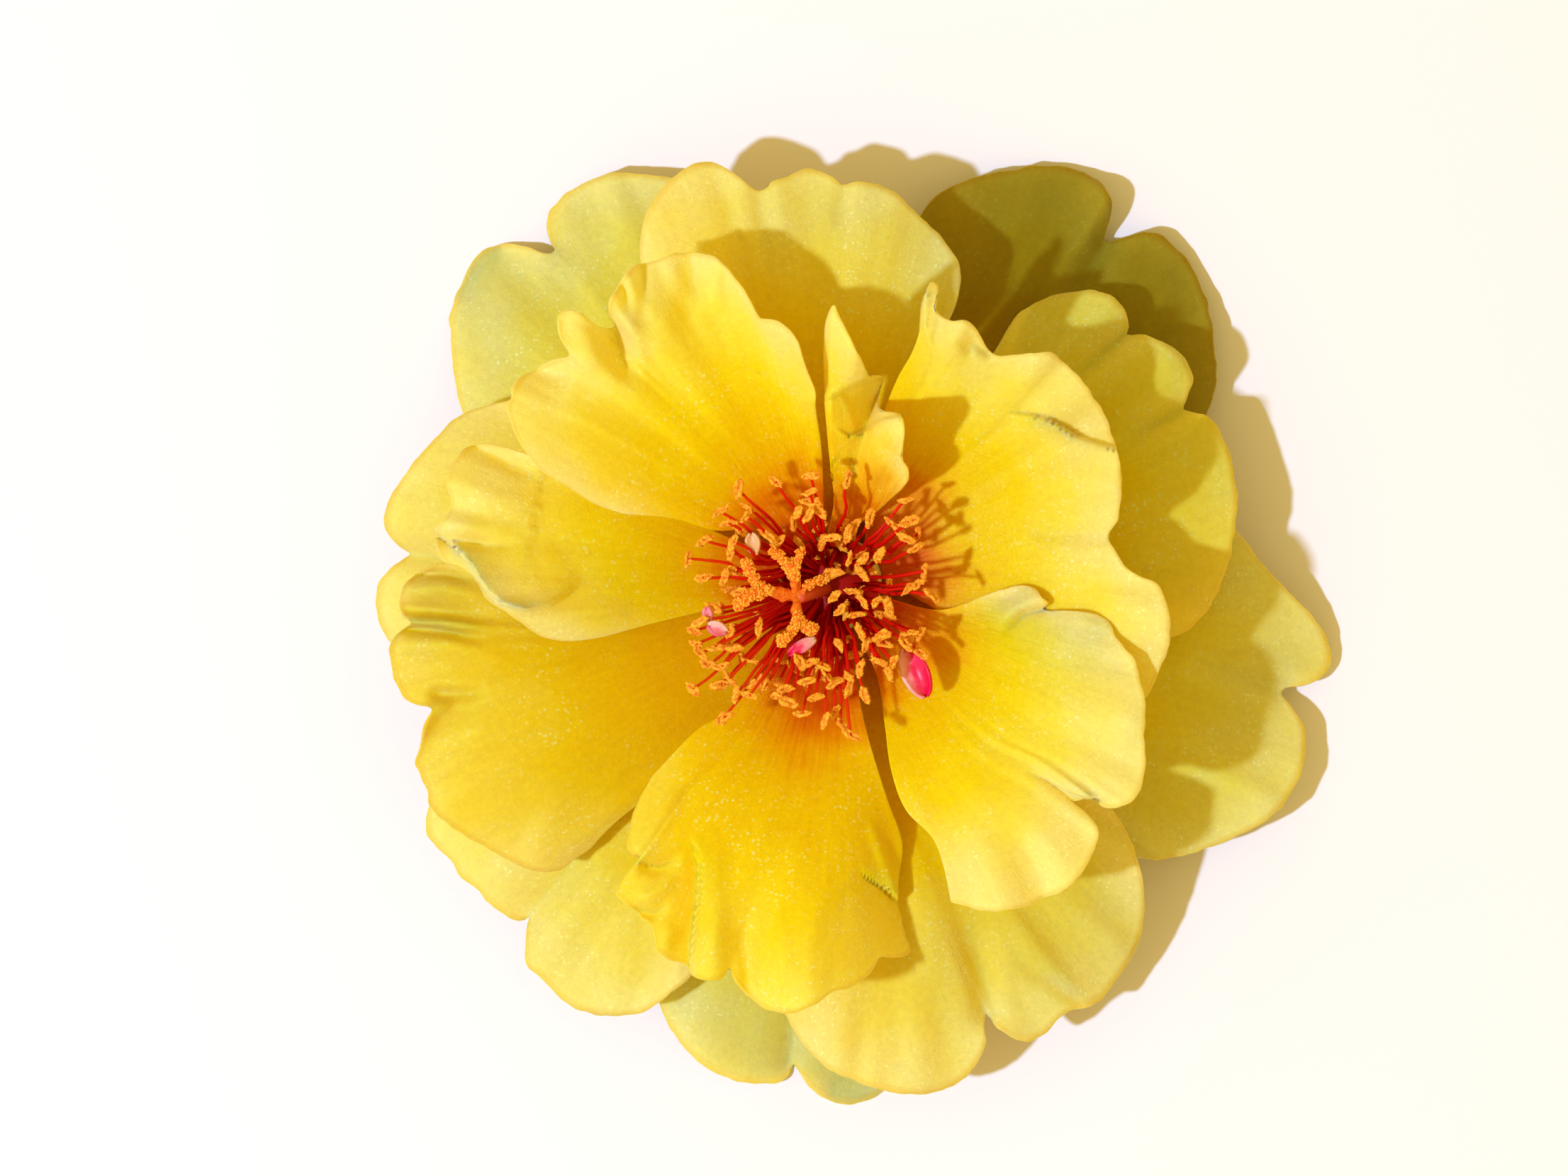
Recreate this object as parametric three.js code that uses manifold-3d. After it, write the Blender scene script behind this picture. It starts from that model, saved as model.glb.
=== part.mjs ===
// Double portulaca bloom, picked and lying face up. Millimetres, +Z up out of the bloom.
// Origin: centre of the flat scar on the base. +X and +Y span the surface it lies on.
import * as THREE from "three";
import { mergeVertices } from "three/addons/utils/BufferGeometryUtils.js";
import Module from "manifold-3d";

const wasm = await Module();
wasm.setup();

// ---- Driving dimensions ----
const BLADE = 0.66; // thickness of every petal and sepal
const PETAL_RING = 3.4; // distance from the axis to the foot of every petal
const PETAL_ROWS = [0, 0.3, 0.55, 0.75, 0.9, 1]; // stations from foot to rim
const LOWEST_MIDDLE = 0.31; // a drooping tip's middle surface, so that its underside lies at 0
const LIFT_POWER = 2.6; // how closely a rim's waves keep to the rim

// Height of each layer's middle surface, as [distance from the axis, height] pairs.
const LAYERS = [
  [[3, 4], [8, 4.8], [15, 4.9], [20, 4], [25, 2.4], [29, 1.1], [34, 0.4]],
  [[3, 5.1], [8, 6.2], [15, 7.3], [20, 7.2], [25, 6], [29, 4.9], [34, 3.6]],
  [[3, 6.2], [8, 7.7], [15, 9.8], [20, 10.7], [25, 10.5], [29, 9.9], [34, 9]],
  [[3, 7.3], [8, 9.2], [15, 12.3], [20, 14.2], [25, 15], [29, 15.2], [34, 15.2]],
  [[3, 8.4], [8, 10.7], [15, 15], [20, 18], [25, 20.2], [29, 21.5], [34, 22.5]],
];

// Each petal: its layer, the direction of its foot and the foot's half width, then its outline
// in plan. "left" and "right" run from the foot to the two ends of the rim, and "rim" runs
// clockwise between them as [x, y, lift above the layer].
// Folds are [x1, y1, x2, y2, height, half width].
const PETALS = [
  {
    "name": "outer_petal_1", "layer": 0, "foot": 132, "half": 1.3,
    "left": [[-6, 3.2], [-12, 6.2]],
    "rim": [
      [-22, 9.6, 0.4], [-23.4, 11.4, 0.5], [-24, 14, 0.1], [-24, 16.8, -0.5], [-23.2, 19.2, -1],
      [-21.8, 21, -1], [-19.9, 21.2, -0.4], [-18, 20.7, 0.6], [-17.5, 20.9, 0.8], [-17.9, 22.6, 0.3],
      [-17.3, 23.9, 0], [-15.5, 25.2, 0.2], [-13.6, 25.7, 0.6], [-11, 25.5, 0.8], [-8.5, 25, 0.4],
      [-6.5, 23.4, 0],
    ],
    "right": [[-4, 9], [-6, 17]],
    "folds": [[-17.5, 21, -14.6, 17, -0.5, 1.4], [-20.6, 16.5, -14.5, 12, 0.5, 2]],
  },
  {
    "name": "outer_petal_2", "layer": 0, "foot": 52, "half": 1.3,
    "left": [[3.2, 7], [4.5, 14]],
    "rim": [
      [5.2, 22.3, 0], [5.9, 23.7, 0.3], [7.3, 24.8, 0.7], [9.1, 25.5, 0.5], [11.1, 25.9, 0],
      [13.3, 26.2, -0.2], [15.3, 25.9, 0.2], [16.9, 25.1, 0.7], [17.5, 23.6, 0.8], [17.1, 21.4, 0.3],
      [18.6, 21.8, 0.6], [20.2, 22, 0.7], [21.3, 21.2, 0.4], [22.5, 19.8, 0], [23.4, 17.8, 0.3],
      [23.8, 15.2, 0.7], [24, 12.7, 0.4], [23.4, 10.4, 0],
    ],
    "right": [[7, 2.8], [13, 4.8], [19, 7.4]],
    "folds": [[17.1, 21.4, 13.6, 17, -0.6, 1.4], [20.6, 17, 14, 12, 0.4, 2]],
  },
  {
    "name": "outer_petal_3", "layer": 0, "foot": -13, "half": 1.3,
    "left": [[10, 1], [17, 2.8]],
    "rim": [
      [22.5, 4.2, 0.2], [25.1, 3.4, 0.4], [26.6, 1.5, 0.4], [28.1, -0.1, 0.2], [30.1, -2.1, -0.4],
      [31.2, -4, -1], [31.2, -5.5, -1], [30.1, -6.4, -0.4], [28.3, -6.9, 0.4], [29.1, -8, 0.2],
      [29.7, -9.9, 0], [29.4, -12.1, 0.5], [28.2, -14, 0.8], [26.2, -15.6, 0.6], [23.7, -16.7, 0.2],
      [21, -17.35, 0.4], [18.5, -17.2, 0],
    ],
    "right": [[5.5, -3.6], [9, -7.5], [13, -12]],
    "folds": [[28.3, -6.9, 22.5, -5.2, -0.6, 1.4], [25, -2, 17, -2.2, 0.4, 2]],
  },
  {
    "name": "outer_petal_4", "layer": 0, "foot": -95, "half": 1.3,
    "left": [[2.2, -8], [4.5, -16], [6, -24]],
    "rim": [
      [6.2, -29, 0], [5, -31.2, -0.4], [3.1, -32, -0.8], [1.3, -32.8, -1], [-0.3, -32.5, -0.8],
      [-1.6, -31.6, 0], [-2.5, -30.2, 0.5], [-3.1, -31.3, 0.2], [-4.9, -31.5, 0.2], [-6.9, -31.1, 0.6],
      [-8.6, -30, 0.8], [-9.9, -28.5, 0.5], [-10.9, -26.5, 0.2], [-11.3, -24, 0],
    ],
    "right": [[-3, -8], [-6.5, -15], [-9.5, -20]],
    "folds": [[-2.5, -30.2, -2.2, -25, -0.6, 1.4]],
  },
  {
    "name": "outer_petal_5", "layer": 1, "foot": 173, "half": 1.2,
    "left": [[-7, -2], [-14, -4.3], [-20, -5.6]],
    "rim": [
      [-25.5, -5.6, 0], [-27.6, -3.9, -0.3], [-28.6, -1.6, 0.2], [-28.4, 0, 0.6], [-27.2, 1.3, 0.6],
      [-26.4, 1.8, 0.2], [-27.4, 2.6, 0.2], [-28.1, 3.9, -0.4], [-27.5, 5.6, 0.1], [-26.5, 7.1, 0.7],
      [-25, 9, 0.6], [-23.1, 10.5, 0], [-20.5, 11.3, 0],
    ],
    "right": [[-7, 4.6], [-12, 8], [-17, 10.6]],
    "folds": [[-26.4, 1.8, -22, 1.6, -0.5, 1.2]],
  },
  {
    "name": "outer_petal_6", "layer": 1, "foot": 98, "half": 1.2,
    "left": [[-4, 8], [-8, 13.5]],
    "rim": [
      [-11.4, 18, 0], [-12.1, 20.4, 0.4], [-12, 22.5, 0.9], [-10.8, 24.5, 0.8], [-9.3, 25.9, 0],
      [-7.9, 26.3, -0.5], [-6.3, 25.7, 0.2], [-4.6, 24.5, 0.6], [-3.9, 25, 0.6], [-2.4, 25.7, -0.2],
      [-0.7, 25.7, -0.4], [0.6, 24.85, 0.2], [1.7, 25, 0.5], [3.1, 24.7, 0.7], [4.8, 23.5, 0.2],
      [6.3, 22, 0.2], [7.7, 20.2, 0.8], [7.9, 18.5, 0.7], [7.2, 16.4, 0],
    ],
    "right": [[2.4, 6], [4.4, 10], [6, 13.4]],
    "folds": [[-4.6, 24.5, -3.4, 19, -0.6, 1.4], [0.8, 24.6, 1, 19.5, -0.4, 1.3]],
  },
  {
    "name": "outer_petal_7", "layer": 1, "foot": 25, "half": 1.2,
    "left": [[5.2, 5.2], [8, 9.6]],
    "rim": [
      [10.3, 14.6, 0], [11.5, 16.7, 0.4], [13.3, 17.9, 0.9], [15.2, 18.3, 0.8], [17, 18.2, 0.2],
      [18.3, 17, 0], [18.4, 15.6, 0], [19.6, 15.5, 0.2], [21.4, 14.5, 0.7], [22.4, 13.1, 0.6],
      [22, 10.8, 0], [23.5, 10.5, 0], [24.6, 8.9, -0.3], [25.2, 6.6, 0.1], [25.2, 4.4, 0.5],
      [24.9, 2.1, 0.2], [24, -0.6, 0.1], [22.9, -2.3, 0.5], [21, -3.4, 0],
    ],
    "right": [[8, -1.6], [14, -3.2]],
    "folds": [[18.4, 15.6, 14.2, 12, -0.6, 1.3], [22, 10.8, 17.5, 8.8, -0.5, 1.3]],
  },
  {
    "name": "outer_petal_8", "layer": 1, "foot": -67, "half": 1.2,
    "left": [[5.5, -6], [10, -9.5]],
    "rim": [
      [15.6, -12.4, 0], [17.6, -14.4, 0.4], [18.9, -17, 0.7], [19.5, -20.3, 0.2], [19, -22.9, -0.4],
      [17.7, -25.1, -0.2], [16.2, -26.5, 0.4], [14.5, -27, 0.6], [13.2, -28.3, 0], [11.8, -28.7, -0.2],
      [9.6, -27, 0.2], [9.5, -28.4, 0.3], [9.2, -29.8, 0], [8.1, -31.2, -0.5], [6.3, -31.9, -0.4],
      [4.2, -32, 0.2], [1.9, -31.4, 0.7], [-0.3, -30.4, 0.6], [-1.9, -28.8, 0.2], [-3, -27.1, 0],
      [-3.9, -25, 0],
    ],
    "right": [[-0.6, -7], [-2.4, -13], [-3.6, -19]],
    "folds": [[9.6, -27, 8, -21, -0.8, 1.4], [15, -26, 11.1, -20.6, -0.4, 1.3]],
  },
  {
    "name": "outer_petal_9", "layer": 1, "foot": -129, "half": 1.2,
    "left": [[-4, -8.5], [-6.8, -15.5]],
    "rim": [
      [-8.4, -22.5, 0], [-8.9, -24.6, 0.5], [-10.3, -25.8, 0.8], [-12, -26.9, 0.3], [-13.9, -27.2, -0.4],
      [-16, -26.7, -0.5], [-17.8, -25.4, 0.1], [-19.1, -24, 0.6], [-19.3, -22.4, 0.6], [-19, -21, 0.1],
      [-20.3, -21, 0.1], [-21.9, -19.5, 0.5], [-23.4, -18.3, 0.7], [-24.6, -16.7, 0.2], [-25.5, -15.5, 0],
      [-25.2, -13.5, 0], [-24, -11.8, 0],
    ],
    "right": [[-6.4, -4.6], [-12, -7], [-19, -9.6]],
    "folds": [[-19, -21, -15, -17, -0.7, 1.5]],
  },
  {
    "name": "inner_petal_1", "layer": 4, "foot": 126, "half": 1.4,
    "left": [[-5, 3.2], [-9.8, 4]],
    "rim": [
      [-13.1, 4.3, 0.2], [-15.5, 5.4, 0.6], [-17.8, 6.7, 0.9], [-19.2, 8.4, 0.6], [-20.3, 10.9, 0],
      [-20, 12.1, 0.3], [-18.4, 13.2, 1], [-16.5, 14.1, 1.2], [-17, 15.8, 0.6], [-16.7, 16.8, 0.2],
      [-15.3, 16.4, 0.2], [-13.6, 15.9, -0.2], [-13.9, 17.2, 0.2], [-13, 19, 0.8], [-11.6, 19.9, 0.2],
      [-9.5, 20.45, 0.9], [-7.4, 20.2, 0.2], [-5.7, 18.4, 0.9], [-4.8, 16.8, 0.6], [-3.5, 16.1, 0.8],
      [-2.1, 14.5, 0.6], [-1.5, 12.5, 0.3], [-1.3, 10.7, 0],
    ],
    "right": [[-0.7, 5.4], [-0.9, 8.4]],
    "folds": [
      [-13.6, 16, -12, 11.6, -0.8, 1.2], [-10, 19, -10, 14, 0.7, 1.2],
      [-17, 12.9, -13.4, 9.8, -0.5, 1.3], [-16, 8.5, -11, 7.4, 0.5, 1.8],
    ],
  },
  {
    "name": "inner_petal_2", "layer": 3, "foot": 176, "half": 1.3,
    "left": [[-6.5, -1.4], [-10.3, -2.2]],
    "rim": [
      [-13.5, -3.1, 0.1], [-17, -3.6, 0.6], [-19.3, -2.5, 0.2], [-21.3, -1.2, 0.7], [-22.3, 0.5, 0.3],
      [-24.3, 1.4, 1.1], [-24.7, 3, 0.2], [-23.8, 4.9, 0.7], [-24, 6.5, 1], [-23.3, 8, 0.3],
      [-21.6, 8.6, 0.1], [-19.5, 8.2, 0], [-16, 7, 0],
    ],
    "right": [[-6, 2.6], [-11, 5]],
    "folds": [
      [-22.4, 1.6, -15, 0.4, -0.7, 1.5], [-24.2, 3, -18, 2.4, -0.6, 1.1], [-23, 6.4, -16, 4, 0.5, 1.2],
    ],
  },
  {
    "name": "inner_petal_3", "layer": 2, "foot": -157, "half": 1.3,
    "left": [[-5.5, -5], [-9, -9.4]],
    "rim": [
      [-12.5, -13.5, 0], [-14, -15.2, 0.6], [-15.9, -17, 0.9], [-17.5, -17.95, 0.5], [-19.5, -17.6, -0.3],
      [-22, -16.3, 0.2], [-24.1, -14.8, 0.7], [-25.2, -13.3, 0.8], [-26, -11.3, 0], [-25.4, -9, 0.2],
      [-25, -7.7, 0.6], [-26.7, -7.1, 0.3], [-27.4, -5.3, -0.4], [-27.5, -3.7, 0.1], [-26.3, -2.5, 0.7],
      [-26.9, -1.4, 0.3], [-26.4, 0.1, 0.6], [-24.5, 1.2, 0], [-22, 1.3, 0],
    ],
    "right": [[-8, -0.9], [-15, -0.4]],
    "folds": [
      [-26.6, -2.4, -21.4, -3.4, -0.7, 1], [-25, -7.8, -20.5, -7.6, -0.6, 1.2],
      [-26.8, -5, -20, -5.4, 0.5, 1.2],
    ],
  },
  {
    "name": "inner_petal_4", "layer": 3, "foot": -98, "half": 1.3,
    "left": [[1.3, -5.5], [2.6, -11.2]],
    "rim": [
      [3.4, -14.1, 0], [4, -16.6, 0.3], [3.8, -19.5, 0.8], [4.8, -22.9, 0.6], [3, -23.4, 0.3],
      [1.8, -24.6, 0.8], [0, -25.4, 0.3], [-1.9, -26.4, 0.7], [-3.9, -26.5, 0.2], [-5.5, -25.5, 0.6],
      [-6.4, -24.1, 0.2], [-8.2, -24.5, 0.9], [-10.2, -23.4, 0.4], [-11.2, -21.7, 0.8], [-13, -19.9, 1],
      [-13.4, -18.8, 0.6], [-12.2, -17.9, 0.1], [-12.8, -16.4, 0.5], [-12.4, -14.2, 0.3], [-11.2, -12, 0],
    ],
    "right": [[-4.4, -5.6], [-8.3, -9]],
    "folds": [
      [-9.1, -23, -8.5, -15, -1, 1.1], [-7.3, -23, -7.3, -15, 0.6, 1.1],
      [-5.2, -24.5, -4.6, -20.5, -0.6, 1], [1, -24, 0, -17, 0.5, 1.2], [3.6, -20, 2.2, -15, 0.4, 1],
      [-12.2, -18, -9.8, -17, -0.5, 1],
    ],
  },
  {
    "name": "inner_petal_5", "layer": 3, "foot": -40, "half": 1.3,
    "left": [[6.5, -1.6], [9.3, -0.85]],
    "rim": [
      [11.9, -0.15, 0.2], [13.3, -1.5, 0.3], [15.2, -1.6, 0.8], [17, -2.2, 0.8], [18, -3.8, 0.4],
      [19.1, -6.2, 0.9], [19.3, -9, 0.4], [19.3, -11.9, 0.8], [18.3, -13.8, 0.9], [16.6, -13.9, 0.3],
      [14.9, -13.3, -0.2], [16.3, -15, 0.2], [16.4, -16.2, 0.6], [15, -18.5, 1], [12.8, -19.7, 0.4],
      [10.2, -20.4, 0.9], [7.5, -19.9, 0.8], [6.9, -17.6, 0.3], [5.9, -15.6, 0.2], [4.6, -14, 0],
    ],
    "right": [[2.8, -6], [3.5, -9.6]],
    "folds": [
      [14.9, -13.3, 11.4, -10.2, -0.8, 1.2], [13.2, -1.6, 11.2, -4.4, -0.5, 1.1],
      [17.6, -8.6, 11, -6.6, 0.5, 1.8], [9.6, -18.6, 8, -12, 0.5, 1.6],
    ],
  },
  {
    "name": "inner_petal_6", "layer": 2, "foot": 28, "half": 1.2,
    "left": [[2.4, 6.5], [3.4, 10.8]],
    "rim": [
      [4.6, 13.8, 0.2], [5.2, 16.2, 0.8], [5.6, 18, 1.2], [6.4, 18.3, 1], [6.5, 16.9, 0.3],
      [7.9, 16.3, 0.2], [9.4, 14.6, 0.2], [11.4, 14.1, 0.7], [13.7, 14.2, 0.8], [15, 13, 0.4],
      [16.6, 10.9, 0.8], [17.6, 8.2, 1], [17.8, 5.5, 0.6], [17.1, 3, 0], [17.9, 1.3, 0.2],
      [19.6, 0.2, 0.8], [20.8, -1.6, 0.8], [20.8, -4, 0.3], [20, -6, 0], [19, -7.4, 0],
    ],
    "right": [[7, -2], [12.5, -5]],
    "folds": [
      [10.7, 10.4, 17.4, 8.2, 0.8, 1.1], [17.1, 3, 11.6, 3, -0.6, 1.2], [9.2, 14.8, 7.4, 11.4, -0.5, 1.1],
    ],
  },
  {
    "name": "twisted_petal", "layer": 4, "foot": 80, "half": 0.9,
    "left": [[0.1, 6]],
    "rim": [
      [0, 10, 0.2], [-0.3, 12.3, 0.4], [-0.5, 14.6, 0.6], [-0.4, 16.2, 0.2], [0.1, 17.1, -0.2],
      [0.9, 15.4, 0.3], [1.9, 13.3, 0.8], [3, 12.7, 0.4], [2.8, 11.4, -0.2], [3.5, 10.5, 0.2],
      [4.3, 9.5, 0.8], [4.3, 8, 1], [4.4, 6.5, 0.4],
    ],
    "right": [[3.2, 4.8]],
    "folds": [[-0.2, 11.3, 2.4, 12.5, 0.7, 0.9], [0.9, 8.9, 4, 10, -0.6, 0.8]],
  },
];

// Calyx and receptacle: half profiles as [radius, height].
const RECEPTACLE_PROFILE = [[0, 3.5], [2.7, 3.5], [3, 4.2], [3, 8.2], [2.6, 8.7], [0, 8.7]];
const CUP_PROFILE = [[0, 0], [1.9, 0], [2.3, 0.4], [3, 1.6], [3.3, 2.6], [3.1, 3.2], [0, 3.2]];
const ROUND_SIDES = 24;
const SEPAL_DIRECTIONS = [40, 220];
const SEPAL = { length: 11.4, halfWidth: 5.6, foot: 1.6, footHeight: 1.3, rimHeight: 3.2, keel: 0.6 };
const SEPAL_CURL = 0.07; // how far a sepal's sides sweep back, per mm squared of its width
const SEPAL_STATIONS = 6;

// Stamens: a disc, and stalks that rise from a ring on it and lean outwards.
const DISC_PROFILE = [[0, 9], [2.7, 9], [2.9, 9.25], [2.4, 9.6], [0, 9.7]];
const STALK_RINGS = [
  { root: 1.25, count: 9, reach: 3.3, height: 11.2 },
  { root: 1.7, count: 13, reach: 5, height: 12.4 },
  { root: 2.12, count: 16, reach: 6.6, height: 13.5 },
  { root: 2.5, count: 20, reach: 8.1, height: 14.2 },
];
const STALK_ROOT_HEIGHT = 9.2;
const STALK_RADIUS = 0.3;
const STALK_SIDES = 3;
const STALK_KNEE = { out: 0.55, up: 0.62 }; // where a stalk bends, as shares of its reach and rise
const TIP_CENTRE = [-1.2, -1]; // the tuft leans a little to one side
const TIP_SCATTER = 0.7;
const ANTHER_SIZE = [0.34, 0.6, 0.34]; // half axes
const SEED = 7;

// Small stalks that have grown into blades: [x, y, direction, half length, half width, height].
const PETALOID_TIPS = [
  [5.1, -5.6, -70, 1.7, 0.9, 13.6],
  [-2, -4.1, -145, 1, 0.55, 12.2],
  [-7.7, -2.5, 160, 0.8, 0.5, 14.4],
];

const PETALOID_ROOT = 1.9; // how far from the axis these root

// Pistil: the style's bends and the ends of its stigma lobes, as [x, y, z].
const STYLE_POINTS = [[0, -0.2, 10.2], [-0.4, -0.4, 11.6], [-1.5, -0.7, 13.4]];
const STYLE_RADIUS = 0.42;
const STYLE_SIDES = 6;
const LOBE_RADIUS = 0.36;
const LOBE_SIDES = 5;
const LOBE_ARCH = 0.45; // how far a lobe arches above a straight line
const LOBE_ENDS = [
  [-1.8, 2, 14.6], [-3.3, 1.6, 14.2], [-4.9, 1.1, 14.5],
  [-5.6, -1.4, 14.3], [-3.4, -3.4, 14.4], [-1, -2.9, 14.7],
];

// ---- Materials ----
const finish = (color, roughness) => new THREE.MeshStandardMaterial({
  color,
  roughness,
  metalness: 0,
  side: THREE.DoubleSide,
});
const OUTER_YELLOW = finish(0xf0dd6a, 0.5);
const INNER_YELLOW = finish(0xf2c81c, 0.45);
const GREEN = finish(0x8fa453, 0.6);
const STAMEN_RED = finish(0xb3260f, 0.5);
const POLLEN_ORANGE = finish(0xe8860c, 0.8);

// ---- Small helpers ----
const radians = THREE.MathUtils.degToRad;
const lerp = THREE.MathUtils.lerp;

// Smooth curve through [x, y] pairs, read at x.
function smoothHeight(pairs, x) {
  const last = pairs.length - 1;
  if (x <= pairs[0][0]) return pairs[0][1];
  if (x >= pairs[last][0]) return pairs[last][1];
  const i = pairs.findIndex(([px]) => px > x) - 1;
  const slopeAt = (k) => {
    const a = pairs[Math.max(k - 1, 0)];
    const b = pairs[Math.min(k + 1, last)];
    return (b[1] - a[1]) / (b[0] - a[0]);
  };
  const span = pairs[i + 1][0] - pairs[i][0];
  const u = (x - pairs[i][0]) / span;
  const startWeight = (1 + 2 * u) * (1 - u) ** 2;
  const endWeight = u * u * (3 - 2 * u);
  return (
    startWeight * pairs[i][1] +
    endWeight * pairs[i + 1][1] +
    span * (u * (1 - u) ** 2 * slopeAt(i) - u * u * (1 - u) * slopeAt(i + 1))
  );
}

// Point at a share of the length of a smooth curve through plan points.
function alongSide(points) {
  const curve = new THREE.SplineCurve(points.map(([x, y]) => new THREE.Vector2(x, y)));
  return (share) => curve.getPointAt(share);
}

// Height that a fold adds at a plan point: a ridge or furrow that fades at both ends.
function foldHeight([x1, y1, x2, y2, height, halfWidth], x, y) {
  const length = Math.hypot(x2 - x1, y2 - y1);
  const along = ((x - x1) * (x2 - x1) + (y - y1) * (y2 - y1)) / length;
  const across = ((x - x1) * (y2 - y1) - (y - y1) * (x2 - x1)) / length;
  const past = Math.max(0, -along, along - length);
  return height * Math.exp(-((across / halfWidth) ** 2) - (past / (2 * halfWidth)) ** 2);
}

// Closed blade around a grid of points: both faces share one split into triangles.
// rows[i][j] runs from the foot outwards in i, and clockwise in j.
function bladeGeometry(rows) {
  const rowCount = rows.length;
  const columnCount = rows[0].length;
  const middle = new THREE.BufferGeometry();
  middle.setAttribute("position", new THREE.Float32BufferAttribute(rows.flat(2), 3));
  const at = (i, j) => i * columnCount + j;
  const faces = [];
  for (let i = 0; i < rowCount - 1; i++) {
    for (let j = 0; j < columnCount - 1; j++) {
      faces.push([at(i, j), at(i + 1, j + 1), at(i + 1, j)]);
      faces.push([at(i, j), at(i, j + 1), at(i + 1, j + 1)]);
    }
  }
  middle.setIndex(faces.flat());
  middle.computeVertexNormals();
  const position = middle.attributes.position;
  const normal = middle.attributes.normal;
  const sign = normal.getZ(0) < 0 ? -1 : 1;
  const vertices = [];
  for (const side of [1, -1]) {
    for (let k = 0; k < position.count; k++) {
      const offset = (side * sign * BLADE) / 2;
      vertices.push(
        position.getX(k) + offset * normal.getX(k),
        position.getY(k) + offset * normal.getY(k),
        Math.max(position.getZ(k) + offset * normal.getZ(k), 0),
      );
    }
  }
  const under = position.count;
  const index = [];
  for (const [a, b, c] of faces) {
    index.push(...(sign > 0 ? [a, b, c] : [a, c, b]));
    index.push(...(sign > 0 ? [a + under, c + under, b + under] : [a + under, b + under, c + under]));
  }
  const edge = [];
  for (let j = 0; j < columnCount - 1; j++) edge.push(at(0, j));
  for (let i = 0; i < rowCount - 1; i++) edge.push(at(i, columnCount - 1));
  for (let j = columnCount - 1; j > 0; j--) edge.push(at(rowCount - 1, j));
  for (let i = rowCount - 1; i > 0; i--) edge.push(at(i, 0));
  edge.forEach((a, k) => {
    const b = edge[(k + 1) % edge.length];
    index.push(...(sign > 0 ? [a, a + under, b] : [a, b, a + under]));
    index.push(...(sign > 0 ? [b, a + under, b + under] : [b, b + under, a + under]));
  });
  const blade = new THREE.BufferGeometry();
  blade.setAttribute("position", new THREE.Float32BufferAttribute(vertices, 3));
  blade.setIndex(index);
  return blade;
}

// ---- Petals ----
// A petal is spanned between its two sides, and bulges out to its rim beyond the line between
// the rim's ends. It lies at its layer's height, with its rim's lifts and its folds added.
function petalGeometry(petal) {
  const angle = radians(petal.foot);
  const footAt = (offset) => [
    PETAL_RING * Math.cos(angle) - offset * Math.sin(angle),
    PETAL_RING * Math.sin(angle) + offset * Math.cos(angle),
  ];
  const foot = [footAt(petal.half), footAt(-petal.half)];
  const rim = petal.rim;
  const last = rim.length - 1;
  const left = alongSide([foot[0], ...petal.left, rim[0]]);
  const right = alongSide([foot[1], ...petal.right, rim[last]]);
  const reach = [0];
  for (let j = 1; j <= last; j++) {
    reach.push(reach[j - 1] + Math.hypot(rim[j][0] - rim[j - 1][0], rim[j][1] - rim[j - 1][1]));
  }
  return bladeGeometry(PETAL_ROWS.map((s) => rim.map(([rimX, rimY, lift], j) => {
    const t = reach[j] / reach[last];
    const [x, y] = [rimX, rimY].map((rimPlace, axis) => {
      const betweenSides = lerp(left(s).getComponent(axis), right(s).getComponent(axis), t);
      const betweenRimEnds = lerp(rim[0][axis], rim[last][axis], t);
      return betweenSides + s * (rimPlace - betweenRimEnds);
    });
    const waves = petal.folds.reduce((sum, fold) => sum + foldHeight(fold, x, y), 0);
    const height = smoothHeight(LAYERS[petal.layer], Math.hypot(x, y));
    return [x, y, Math.max(height + lift * s ** LIFT_POWER + s * waves, LOWEST_MIDDLE)];
  })));
}

// ---- Solids to join ----
function solidOf(geometry) {
  const bare = geometry.index ? geometry.clone() : geometry;
  bare.deleteAttribute("normal");
  bare.deleteAttribute("uv");
  const merged = mergeVertices(bare, 1e-4);
  return new wasm.Manifold(new wasm.Mesh({
    numProp: 3,
    vertProperties: new Float32Array(merged.attributes.position.array),
    triVerts: new Uint32Array(merged.index.array),
  }));
}

// One body from several closed pieces: hollows that the joining seals are filled.
function joined(geometries) {
  const whole = geometries.map(solidOf).reduce((sum, solid) => sum.add(solid));
  const [body] = whole.decompose().sort((a, b) => b.volume() - a.volume());
  const { vertProperties, triVerts } = body.getMesh();
  const geometry = new THREE.BufferGeometry();
  geometry.setAttribute("position", new THREE.BufferAttribute(vertProperties, 3));
  geometry.setIndex(new THREE.BufferAttribute(triVerts, 1));
  return geometry;
}

function turned(profile) {
  const lathe = new THREE.LatheGeometry(
    profile.map(([radius, height]) => new THREE.Vector2(radius, height)),
    ROUND_SIDES,
  );
  return lathe.rotateX(Math.PI / 2);
}

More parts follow.
